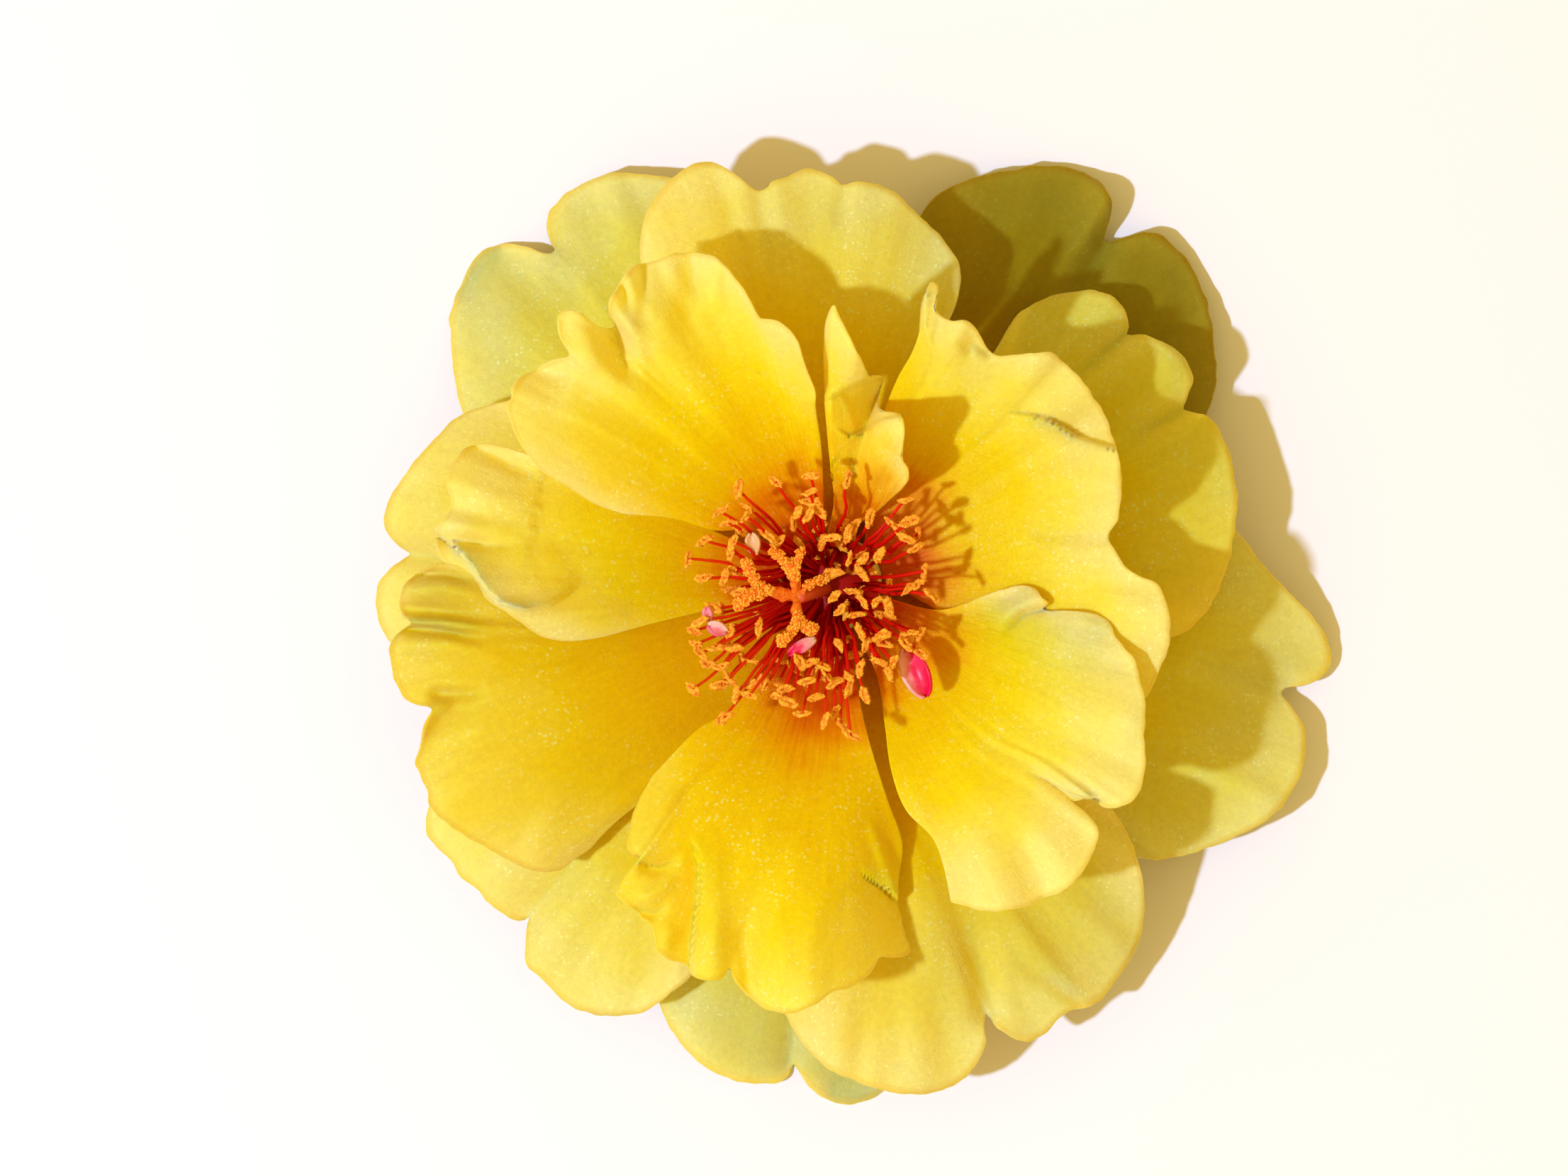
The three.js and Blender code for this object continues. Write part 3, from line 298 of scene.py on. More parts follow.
         [0.48, 1.1, [-18.6, -17.4], [-16.6, -12.5]], [0.56, 1.3, [-24, -13.5], [-19, -10.5]],
     ]},
    {"name": "inner_petal_4", "layer": 3, "foot": -98, "half": 1.3, "painted_shade": 0.08, "painted_light_paleness": -0.18,
     "glow": 2,
     "left": [[1.3, -5.5], [2.1, -9.3], [3.4, -13.6], [4.3, -16.3], [4, -18.8], [4.35, -21.6]],
     "rim": [
         [4.85, -22.8, -1], [4.7, -23.15, -1], [3.6, -23.4, -0.8], [2.8, -23.3, -0.5],
         [2.5, -23.9, -0.3], [1.8, -24.6, 0], [0.9, -25.05, 0.2], [0, -25.3, 0.3], [-0.9, -25.95, 0.5],
         [-1.9, -26.4, 0.7], [-3.1, -26.6, 0.3], [-4.2, -26.4, 0.2], [-5, -25.9, 0.4],
         [-5.6, -25.3, 0.3], [-6.1, -24.6, 0.2], [-6.5, -24, 0.2], [-7, -24.6, 0.5], [-8, -24.6, 0.8],
         [-8.8, -24.2, 0.7], [-9.2, -23.6, 0.4], [-10.1, -23.4, 0.4], [-10.9, -22.8, 0.6],
         [-11.1, -21.9, 0.7], [-11.3, -21.2, 0.7], [-11.9, -20.8, 0.8], [-12.2, -20.4, 0.7],
         [-12.9, -19.9, 0.9], [-13.5, -19.3, 0.9], [-13.1, -18.5, 0.6], [-12.3, -17.6, 0.3],
         [-11.95, -17.1, 0], [-12.4, -16.9, 0.2], [-12.8, -16.4, 0.5], [-12.6, -15.2, 0.4],
         [-12.4, -14.3, 0.3], [-11.9, -13.2, 0.1], [-11.2, -12, 0],
     ],
     "right": [[-4.4, -5.6], [-6.6, -8], [-8.5, -9.2]],
     "folds": [
         [0.8, 0.8, [-7.4, -24.3], [-7.4, -20], [-7.2, -16]],
         [-1.12, 0.6, [-5.1, -25.8], [-5.3, -23.5], [-5.6, -21]],
         [0.64, 0.7, [-3, -26.3], [-3.2, -22.5], [-3.6, -19]],
         [2.1, 2.4, [-1.6, -25.6], [-1.9, -21], [-2, -15]],
         [-5.2, 2.8, [5.6, -24], [5.2, -19.5], [4.8, -15.5], [3.4, -10]],
         [0.8, 0.35, [4, -19.6], [3.2, -17.6], [2.2, -14.6]],
         [0.96, 0.6, [-11.9, -16.6], [-10.8, -15], [-9.4, -13]],
         [-1.44, 0.45, [-11.6, -17.6], [-10.9, -17.7], [-9.6, -17.3]],
         [0.64, 0.4, [-11.6, -19.4], [-10.6, -18.9], [-9.8, -18.2]],
         [-0.96, 0.35, [-12.1, -20.4], [-11.2, -20.5], [-10.3, -20]],
         [0.64, 0.5, [-10.4, -22.6], [-10, -21]],
     ],
     "lips": [
         [-2.4, 1.5, [-8.9, -24], [-8.7, -21.8], [-8.45, -19.5], [-8.4, -17.4], [-9, -15.8]],
         [-1.2, 2, [4.2, -20], [2.8, -18.9], [1.2, -17.8]],
     ]},
    {"name": "inner_petal_5", "layer": 3, "foot": -40, "half": 1.3, "painted_light_paleness": 0.07,
     "left": [[6.5, -1.7], [8.1, -1.35], [9.3, -0.85]],
     "rim": [
         [10.6, -0.4, 0], [11.8, -0.15, -0.1], [12.5, -0.35, -0.2], [13, -0.85, -0.3],
         [13.4, -1.3, -0.3], [13.05, -1.6, -0.3], [13.5, -1.75, -0.3], [14.3, -1.75, -0.3],
         [15.3, -1.8, -0.3], [16.4, -2, -0.3], [17.1, -2.4, -0.3], [17.45, -3.2, -0.2], [18.1, -4, 0],
         [18.7, -4.8, 0.2], [19.05, -6, 0.2], [19.35, -7.3, 0.1], [19.3, -9, 0], [19.35, -10.6, 0],
         [19.3, -11.9, 0.1], [18.9, -13.1, 0.5], [18.2, -13.8, 0.6], [17.3, -14, 0.4],
         [16.7, -13.9, 0.6], [16.3, -13.45, 0.8], [15.2, -13.5, 0.4], [14.7, -13.6, 0.2],
         [15.4, -14.1, 0.3], [16.1, -14.8, 0.6], [16.45, -15.4, 0.8], [16.3, -16.3, 0.6],
         [15.8, -17.4, 0.8], [15, -18.5, 1], [14.2, -19.15, 0.8], [13, -19.6, 0.5], [11.8, -20.1, 0.7],
         [10.2, -20.4, 0.9], [8.6, -20.2, 0.9], [7.3, -19.8, 0.7],
     ],
     "right": [[2.8, -6], [3.25, -9], [3.6, -11.6], [4.5, -14.1], [6.2, -15.9], [6.85, -17.6]],
     "folds": [
         [0.72, 0.5, [13, -1], [11.6, -1.4], [10, -2.6]],
         [-0.8, 0.4, [13, -1.75], [12, -2], [10.6, -3.4]], [0.8, 1.6, [18, -8.6], [14, -7.6], [10, -6]],
         [0.72, 1.4, [10.4, -19.6], [9.4, -15.5], [8, -11]], [0.48, 0.9, [15.4, -2.4], [13, -4.6]],
         [-0.4, 0.7, [13.4, -19.2], [11.5, -15]], [-0.4, 0.8, [19, -5.6], [15, -5]],
         [-0.32, 0.5, [10.8, -5.7], [10, -6]],
     ],
     "lips": [[-0.9, 0.9, [16.4, -13.5], [15.2, -13.35], [14.2, -12.9], [13.2, -12.3], [12, -11.8]]]},
    {"name": "inner_petal_6", "layer": 2.4, "foot": 28, "half": 1.2, "painted_shade": 0.05,
     "left": [[2.4, 6.5], [3, 10], [4, 12.7], [4.9, 14.3], [5.35, 15.6], [5.5, 17.2]],
     "rim": [
         [5.85, 18.3, 3], [6.1, 18.65, 3], [6.5, 18.4, 2.9], [6.4, 17.6, 2.7], [6.3, 16.9, 2.5],
         [6.7, 16.45, 2.4], [7.3, 16.2, 3.2], [8.1, 16.3, 3.5], [8.8, 15.8, 3.5], [9.4, 14.7, 3],
         [10, 14.1, 2.6], [11.2, 14.1, 2.4], [12.4, 14.25, 2.6], [13.6, 14.25, 2.4], [14.2, 13.8, 1.7],
         [15, 13, 1.7], [15.8, 12.1, 1.2], [16.6, 10.9, 0.2], [17.2, 9.6, 0.2], [17.6, 8.2, 1.2],
         [17.85, 6.8, 1.7], [17.85, 5.2, 1.8], [17.6, 3.8, 1.9], [17.05, 2.9, 1.9], [17.5, 2, 1.8],
         [18.2, 0.9, 1.6], [19.1, 0.35, 1.7], [20, 0, 1.8], [20.6, -1, 1.8], [20.9, -2.3, 1.5],
         [20.85, -3.6, 1], [20.5, -4.9, 0.2], [20, -6, 0], [19.3, -7.3, 0],
     ],
     "right": [[7, -2], [12.5, -5]],
     "folds": [
         [0.8, 1.3, [17.2, 5.6], [14.5, 6.4], [11, 6]], [-0.8, 0.7, [17.1, 2.9], [14.5, 3], [12, 3]],
         [-0.96, 0.45, [9.6, 14.4], [8.8, 14.9], [8, 14.2]], [0.8, 0.6, [8, 16], [7.4, 15], [7.6, 13]],
         [0.8, 1.4, [20.3, -2.5], [16, -1.4]], [0.56, 1, [13.2, 13.6], [11.4, 11.6]],
     ],
     "lips": [
         [1.4, 1.8, [17.7, 8.1], [16.3, 8.5], [15.1, 8.95], [14.3, 9.5], [13.3, 10.05], [12, 10.3],
          [10.6, 10.45]],
         [1.12, 1, [5.8, 17.6], [5.7, 16], [6, 14.9], [6.6, 14], [7.2, 13.5]],
     ]},
    {"name": "twisted_petal", "layer": 4, "foot": 80, "half": 0.9,
     "left": [[0.05, 5], [-0.1, 7], [-0.3, 9], [-0.5, 11.3], [-0.5, 12.5], [-0.55, 14]],
     "rim": [
         [-0.5, 15.8, 1.4], [-0.35, 16.6, 2.8], [0, 17.15, 4], [0.3, 16.5, 4], [0.95, 15.25, 3.8],
         [1.55, 14.1, 3.2], [1.95, 13.2, 2.2], [2.3, 12.8, 1.1], [3.1, 12.85, 0], [2.9, 12.1, -0.2],
         [2.75, 11.3, 0.8], [2.9, 10.7, 2.6], [3.6, 10.55, 3.6], [4.2, 10.3, 4.2], [4.4, 9.5, 4.6],
         [4.25, 8.3, 4.4], [4.2, 7.6, 4.2], [4.6, 7, 4.2], [4.65, 6.4, 3.8], [4.2, 5.8, 3],
     ],
     "right": [[1.6, 3.6], [2.9, 4.6]],
     "folds": [
         [1.44, 1, [3.6, 9.2], [2.4, 7.6], [1.2, 5.6]],
         [1.7, 1.1, [-0.6, 10.1], [-0.5, 11], [-0.5, 12.3]],
         [0.8, 0.6, [1.2, 14.8], [1.3, 13.4], [1.6, 12.9]],
         [-1.8, 1.2, [3.4, 11.9], [2.2, 11.4], [0.8, 10.8]],
     ],
     "lips": [
         [1.5, 1.8, [4.3, 10.2], [3.2, 10], [2, 9.3], [0.9, 9], [-0.2, 9.7]],
         [-2, 2.2, [3.1, 12.8], [2.1, 12.5], [0.8, 11.9], [-0.5, 11.3]],
     ]},
]

# %% [markdown]
# ## Smooth curves
# Catmull-Rom curves pass through every point that they are given, which suits outlines that
# were measured. The centripetal kind makes no loops at a notch, where points lie close.

# %% Curves and profiles
def smooth_height(pairs, x):
    """Height of a smooth profile through [x, height] pairs, for an array of x."""
    xs, zs = np.array(pairs, float).T
    slopes = np.gradient(zs, xs)
    slopes[1:-1] = (zs[2:] - zs[:-2]) / (xs[2:] - xs[:-2])
    x = np.clip(x, xs[0], xs[-1])
    i = np.clip(np.searchsorted(xs, x, side="right") - 1, 0, len(xs) - 2)
    span = xs[i + 1] - xs[i]
    u = (x - xs[i]) / span
    start = (1 + 2 * u) * (1 - u) ** 2 * zs[i]
    end = u * u * (3 - 2 * u) * zs[i + 1]
    return start + end + span * (u * (1 - u) ** 2 * slopes[i] - u * u * (1 - u) * slopes[i + 1])


def layer_height(layer, distance):
    """Height of a layer, or of one between two layers, at a distance from the axis."""
    low = min(int(layer), len(LAYERS) - 2)
    share = layer - low
    below, above = (smooth_height(LAYERS[k], distance) for k in (low, low + 1))
    return (1 - share) * below + share * above


def through(points, shares):
    """Points of a centripetal Catmull-Rom curve, at shares 0 to 1 of its points' chord length."""
    p = np.array(points, float)
    p = np.vstack([2 * p[0] - p[1], p, 2 * p[-1] - p[-2]])
    chord = np.maximum(np.linalg.norm(np.diff(p[:, :2], axis=0), axis=1), 1e-6)
    reach = np.concatenate([[0], np.cumsum(chord[1:-1])])
    at = np.clip(np.asarray(shares, float), 0, 1) * reach[-1]
    i = np.clip(np.searchsorted(reach, at, side="right") - 1, 0, len(reach) - 2)
    u = ((at - reach[i]) / chord[i + 1])[:, None]
    knot = np.concatenate([[0], np.cumsum(np.sqrt(chord))])
    t0, t1, t2, t3 = (knot[i + k][:, None] for k in range(4))
    p0, p1, p2, p3 = (p[i + k] for k in range(4))
    t = t1 + u * (t2 - t1)
    a1 = ((t1 - t) * p0 + (t - t0) * p1) / (t1 - t0)
    a2 = ((t2 - t) * p1 + (t - t1) * p2) / (t2 - t1)
    a3 = ((t3 - t) * p2 + (t - t2) * p3) / (t3 - t2)
    b1 = ((t2 - t) * a1 + (t - t0) * a2) / (t2 - t0)
    b2 = ((t3 - t) * a2 + (t - t1) * a3) / (t3 - t1)
    return ((t2 - t) * b1 + (t - t1) * b2) / (t2 - t1)


def chord_length(points):
    """Length of the straight lines that join plan points."""
    return float(np.linalg.norm(np.diff(np.array(points, float)[:, :2], axis=0), axis=1).sum())


# %% [markdown]
# ## Waves and folds
# A petal has three sizes of relief. Folds and lips are listed one by one, because each one is
# different: a fold is a rounded ridge or furrow along a path, and a lip is a step, as where
# tissue doubles over. Ruffles grow towards the rim, where the tissue is widest and softest.
# Perlin noise, read at points stretched along the petal, gives ruffles that never repeat. Fine
# pleats from foot to rim are left to the material.

# %% Relief
LIP_EDGE = 0.14  # width of the steep side of a lip, in mm
FOLD_FADE, LIP_FADE = 3, 4  # the higher, the further inwards they keep their height
NOISE_GAIN = 1.6  # brings Perlin noise to a range of about -1 to 1
SEED_STEP = 7.3  # noise at levels this far apart looks unrelated


def along_path(path, x, y):
    """Distance from a path, distance to its left, and the share of the path that is nearest."""
    nearest, side, share = (np.full(x.shape, start) for start in (1e9, 0.0, 0.0))
    total, done = chord_length(path), 0.0
    for (x1, y1), (x2, y2) in zip(path, path[1:]):
        length = math.hypot(x2 - x1, y2 - y1)
        run = ((x - x1) * (x2 - x1) + (y - y1) * (y2 - y1)) / length
        aside = ((x2 - x1) * (y - y1) - (y2 - y1) * (x - x1)) / length
        closest = np.clip(run, 0, length)
        gap = np.hypot(run - closest, aside)
        nearer = gap < nearest
        nearest = np.where(nearer, gap, nearest)
        side = np.where(nearer, aside, side)
        share = np.where(nearer, (done + closest) / total, share)
        done += length
    return nearest, side, share


def fold_height(fold, x, y):
    """A rounded ridge or furrow along a path, which dies out at its inner end."""
    height, half_width, *path = fold
    nearest, _, share = along_path(path, x, y)
    return height * (1 - share ** FOLD_FADE) * np.exp(-((nearest / half_width) ** 2))


def lip_height(lip, x, y):
    """A step along a path, steep on its right and sloping away to its left."""
    height, slope_width, *path = lip
    nearest, side, share = along_path(path, x, y)
    beyond = np.maximum(nearest ** 2 - side ** 2, 0)
    profile = np.where(side > 0, np.exp(-side / slope_width), np.exp(-((side / LIP_EDGE) ** 2)))
    return height * (1 - share ** LIP_FADE) * profile * np.exp(-beyond / (0.5 * slope_width) ** 2)


def waviness(u, v, seed):
    """Perlin noise at each pair of u and v, from about -1 to 1."""
    flat = [noise.noise(Vector((a, b, SEED_STEP * seed))) for a, b in zip(u.ravel(), v.ravel())]
    return np.array(flat).reshape(u.shape) * NOISE_GAIN


# %% [markdown]
# ## From a grid to a thin closed sheet
# Petal tissue is a little over a quarter of a millimetre thick at its foot, and less than half
# of that at its rim. The grid is the middle of the sheet. It is pushed both ways along its
# normals, and joined round the edge, which gives the closed mesh that light can scatter through.

# %% Thin sheets
NORMAL_ROUNDS = 6  # keeps the two faces of a sheet from crossing where it is ruffled


def grid_normals(grid):
    """Unit normals of a grid of points, pointing up."""
    normal = np.cross(np.gradient(grid, axis=1), np.gradient(grid, axis=0))
    normal /= np.maximum(np.linalg.norm(normal, axis=2, keepdims=True), 1e-12)
    return normal * np.sign(normal[..., 2].mean())


def smoothed(values, rounds):
    """Averages the inner points of a grid with their neighbours, again and again."""
    values = values.copy()
    for _ in range(rounds):
        around = values[:-2, 1:-1] + values[2:, 1:-1] + values[1:-1, :-2] + values[1:-1, 2:]
        values[1:-1, 1:-1] = 0.5 * values[1:-1, 1:-1] + 0.125 * around
    return values


def link_object(name, mesh):
    """Shades a mesh smooth and puts it in the scene as an object."""
    mesh.polygons.foreach_set("use_smooth", np.ones(len(mesh.polygons), bool))
    piece = bpy.data.objects.new(name, mesh)
    bpy.context.scene.collection.objects.link(piece)
    return piece


def sheet_object(name, grid, half_thickness, attributes):
    """A closed sheet round a grid of points in mm. attributes hold one value per grid point."""
    rows, columns = grid.shape[:2]
    offset = smoothed(grid_normals(grid), NORMAL_ROUNDS) * half_thickness[..., None]
    points = np.concatenate([(grid + offset).reshape(-1, 3), (grid - offset).reshape(-1, 3)])
    count = rows * columns
    at = np.arange(count).reshape(rows, columns)

    # Squares on top and, turned over, below, and a strip of squares round the edge.
    top = np.stack([at[:-1, :-1], at[:-1, 1:], at[1:, 1:], at[1:, :-1]], -1).reshape(-1, 4)
    rim = np.concatenate([at[0, :-1], at[:-1, -1], at[-1, :0:-1], at[:0:-1, 0]])
    after = np.roll(rim, -1)
    side = np.stack([rim, rim + count, after + count, after], -1)
    mesh = bpy.data.meshes.new(name)
    faces = np.concatenate([top, top[:, ::-1] + count, side])
    mesh.from_pydata((points * MM).tolist(), [], faces.tolist())

    # What the materials read: the attributes, and two of them as a map along the petal.
    for label, values in attributes.items():
        layer = mesh.attributes.new(label, "FLOAT", "POINT")
        layer.data.foreach_set("value", np.tile(values.ravel(), 2).astype(np.float32))
    corners = np.zeros(len(mesh.loops), np.int32)
    mesh.loops.foreach_get("vertex_index", corners)
    plan = np.stack([np.tile(attributes[key].ravel(), 2) for key in ("across", "reach")], -1)
    uv = mesh.uv_layers.new(name="along_petal")
    uv.data.foreach_set("uv", plan[corners].astype(np.float32).ravel())
    tidy = bmesh.new()
    tidy.from_mesh(mesh)
    bmesh.ops.recalc_face_normals(tidy, faces=tidy.faces)
    tidy.to_mesh(mesh)
    tidy.free()
    return link_object(name, mesh)


# %% [markdown]
# ## The petals
# Each petal is spanned between its two sides and bulges out to its rim. Rows lie closer
# together near the rim, where the ruffles are.

# %% Build the petals
GRID_STEP = {"outer": 0.34, "inner": 0.23}  # spacing of a petal's columns along its rim
GRID_ROWS = {"outer": 50, "inner": 76}
ROW_POWER = 1.25  # above 1, so that rows lie closer together towards the rim
FOOT_REACH = 2.9  # the petals' feet sink just into the receptacle
LIFT_POWER = 3.2  # how near the rim a petal takes up the rim's lift
NOTCH_BLEND = 2.2  # mm of rim over which the inner rows smooth out its notches
NOTCH_POWER = 5  # how near the rim the rows take up its notches
RUFFLES = ((0.22, 2.8, 3), (0.1, 1.2, 4), (0.03, 0.5, 3))  # height and length in mm, power
RUFFLE_STRETCH = 3  # ruffles are this much longer along a petal than across it
PLEAT_REACH = 20  # mm from the axis, where lengths across a petal are counted
MARGIN_JITTER, MARGIN_LENGTH = 0.08, 0.8  # mm by which the rim wanders, and one wander's length
WANDER_CENTRE = 0.3  # it wanders away from a point this far out towards the rim's middle
RIM_SEED, RUFFLE_SEED = 0.37, 0.31  # keep the noise of the rim and of each ruffle apart
TISSUE_FOOT, TISSUE_RIM = 0.14, 0.06  # half thicknesses in mm
THINNING = 0.6  # below 1, so that a petal thins out mostly near its foot
PLAN_ROUNDS = 16  # smoothing of a petal's inner plan points
PAINTED_SHADE_FOOT = 0.3  # share of a petal's painted shade that its foot has
LOWEST = 0.12  # mm, so that no petal sinks into the surface below


def petal_grid(petal, seed, step, rows):
    """Middle surface of a petal, its share of reach from foot to rim, and its place across."""
    angle = math.radians(petal["foot"])
    out = np.array([math.cos(angle), math.sin(angle)])
    aside = np.array([-math.sin(angle), math.cos(angle)])
    foot_left = FOOT_REACH * out + petal["half"] * aside
    foot_right = FOOT_REACH * out - petal["half"] * aside

    # The rim and the two sides as curves. A little noise makes the rim crinkle.
    rim_points = petal["rim"]
    rim_length = chord_length(rim_points)
    t = np.linspace(0, 1, round(rim_length / step))
    s = 1 - (1 - np.linspace(0, 1, rows)) ** ROW_POWER
    rim = through(rim_points, t)
    left = through([foot_left, *petal["left"], rim_points[0][:2]], s)
    right = through([foot_right, *petal["right"], rim_points[-1][:2]], s)
    outward = rim[:, :2] - WANDER_CENTRE * rim[:, :2].mean(0)
    outward /= np.linalg.norm(outward, axis=1, keepdims=True)
    jitter = MARGIN_JITTER * waviness(t * rim_length / MARGIN_LENGTH, 0 * t, seed + RIM_SEED)
    rim[:, :2] += outward * jitter[:, None]

    # How far the rim bulges beyond a straight line between its ends, with and without notches.
    # The rows take up the soft bulge early, and the notches only near the rim.
    bulge = rim[:, :2] - (rim[0, :2] + (rim[-1, :2] - rim[0, :2]) * t[:, None])
    weights = np.exp(-0.5 * ((t[:, None] - t) * rim_length / NOTCH_BLEND) ** 2)
    soft = weights @ bulge / weights.sum(1, keepdims=True)
    soft -= soft[0] + (soft[-1] - soft[0]) * t[:, None]
    s, t = np.meshgrid(s, t, indexing="ij")
    sides = left[:, None] + (right - left)[:, None] * t[..., None]
    plan = sides + s[..., None] * soft + s[..., None] ** NOTCH_POWER * (bulge - soft)
    plan = smoothed(plan, PLAN_ROUNDS)

    # Heights: the layer, the rim's lift, folds and lips, and ruffles of three sizes.
    x, y = plan[..., 0], plan[..., 1]
    distance = np.hypot(x, y)
    across = PLEAT_REACH * ((np.arctan2(y, x) - angle + 3 * math.pi) % (2 * math.pi) - math.pi)
    height = layer_height(petal["layer"], distance) + rim[None, :, 2] * s ** LIFT_POWER
    height = height + s * sum(fold_height(fold, x, y) for fold in petal["folds"])
    height = height + s * sum(lip_height(lip, x, y) for lip in petal.get("lips", []))
    for number, (size, length, power) in enumerate(RUFFLES):
        wave = waviness(across / length, distance / (RUFFLE_STRETCH * length), seed + RUFFLE_SEED * number)
        height = height + size * wave * s ** power
    return np.dstack([x, y, np.maximum(height, LOWEST)]), s, across


petals = {}
for seed, petal in enumerate(PETALS, 1):
    kind = "outer" if petal["name"].startswith("outer") else "inner"
    grid, reach, across = petal_grid(petal, seed, GRID_STEP[kind], GRID_ROWS[kind])
    half = TISSUE_FOOT + (TISSUE_RIM - TISSUE_FOOT) * reach ** THINNING
    # Painted shade darkens a petal, less at its foot.
    painted_shade = petal.get("painted_shade", 0) * np.minimum(1, PAINTED_SHADE_FOOT + reach)
    petals[petal["name"]] = sheet_object(
        petal["name"] + "_tissue", grid, half,
        {
            "reach": reach, "across": across, "painted_shade": painted_shade,
            # Painted light and shade: the rim's pale tones reach further in on a petal that faces the light,
            # and less far on one in shade.
            "tone": reach * (1 + petal.get("painted_light_paleness", 0)),
            "glow": np.full(reach.shape, petal.get("glow", 0)),
        },
    )
print(len(petals), "petals,", sum(len(p.data.polygons) for p in petals.values()), "faces")

# %% [markdown]
# ## Materials: one small function
# Colours are written as the hex values that a colour picker shows, and turned to the linear
# values that Blender works in. `add_node` adds any node with its settings and its inputs. Inputs
# that share a name are counted instead: a Map Range reads 0 between 1 and 2 and gives 3 to 4, and
# a Mix of colours goes by 0 from 6 to 7.

# %% Helpers for materials
def linear(hex_colour):
    """A hex colour such as #f0dd6a as linear red, green, blue and alpha."""
    parts = [int(hex_colour[k:k + 2], 16) / 255 for k in (1, 3, 5)]
    return (*(c / 12.92 if c <= 0.04045 else ((c + 0.055) / 1.055) ** 2.4 for c in parts), 1)


def add_node(tree, kind, inputs=None, stops=None, **settings):
    """Adds a node with its settings, its inputs and, for a colour ramp, its stops.

    An input is a value, an output to link, or a node, which stands for its first output.
    """
    node = tree.nodes.new(kind)
    for label, value in settings.items():
        setattr(node, label, value)
    for key, value in (inputs or {}).items():
        if isinstance(value, bpy.types.Node):
            value = value.outputs[0]
        if isinstance(value, bpy.types.NodeSocket):
            tree.links.new(value, node.inputs[key])
        else:
            node.inputs[key].default_value = value
    if stops:
        ramp, places = node.color_ramp.elements, sorted(stops)
        ramp[0].position, ramp[1].position = places[0], places[-1]
        for place in places[1:-1]:
            ramp.new(place)
        for element, place in zip(ramp, places):
            element.color = linear(stops[place])
    return node


def new_material(name):
    """A material with an empty tree, and a way to add nodes to it."""
    material = bpy.data.materials.new(name)
    material.use_nodes = True
    material.node_tree.nodes.clear()
    return material, partial(add_node, material.node_tree)


def finish_material(material, inputs):
    """Gives a material its shader. Each input is an even value or a pattern."""
    shader = add_node(material.node_tree, "ShaderNodeBsdfPrincipled", inputs)
    add_node(material.node_tree, "ShaderNodeOutputMaterial", {"Surface": shader})
    return material


def from_axis(add):
    """The place on the object and its distance from the bloom's axis."""
    place = add("ShaderNodeTexCoord").outputs["Object"]
    level = add("ShaderNodeVectorMath", {0: place, 1: (1, 1, 0)}, operation="MULTIPLY")
    distance = add("ShaderNodeVectorMath", {0: level}, operation="LENGTH")
    return place, distance.outputs["Value"]


# %% [markdown]
# ## Petal tissue
# A petal is wet, living tissue with a skin of domed cells. The domes scatter light softly and
# send back tiny glints, and the thin sheet glows when light comes through it. So the shader
# lets light scatter right through the sheet, and has a satin roughness and a fine bump of cells.
# The glints are painted highlights: pale specks mixed into the colour. The colour goes from an
# orange throat through egg yellow to a pale lemon rim, with faint streaks from foot to rim.
# Painted shade darkens some petals, and painted light and shade make their rim tones paler or deeper.

# %% Petal material
CELL = 0.16  # mm, drawn about twice as coarse as real skin cells so that they show
PLEAT = 0.45  # mm between pleats at the rim
PLEAT_RELIEF = 2.4  # pleats stand this much higher than cells
RELIEF_DEPTH = 0.035 * MM
PLEAT_STRETCH = 4  # changes that a pleat goes through from foot to rim
BLOTCH = 4  # mm across a soft blotch
BLOTCH_SHIFT = 0.3  # share of a petal's length over which blotches move its colours
MOTTLES_PER_MM = 2.4
MARGIN_FROM = 0.988  # share of the reach at which the rim's brown line starts
THROAT = (4.5 * MM, 10 * MM)  # the throat's colour fades over this distance from the axis
PLEAT_RAG, BLOTCH_RAG = 3 * MM, 7 * MM  # how far pleats and blotches make its edge ragged
# Colour of the painted glints, highlights mixed into the petals' colour.
PAINTED_GLINT = "#fff49c"
MARGIN_LINE = "#c99a2e"
PAINTED_SHADE_KEEPS = (0.31, 0.34, 0.08)  # what a petal keeps of its colour under full painted shade
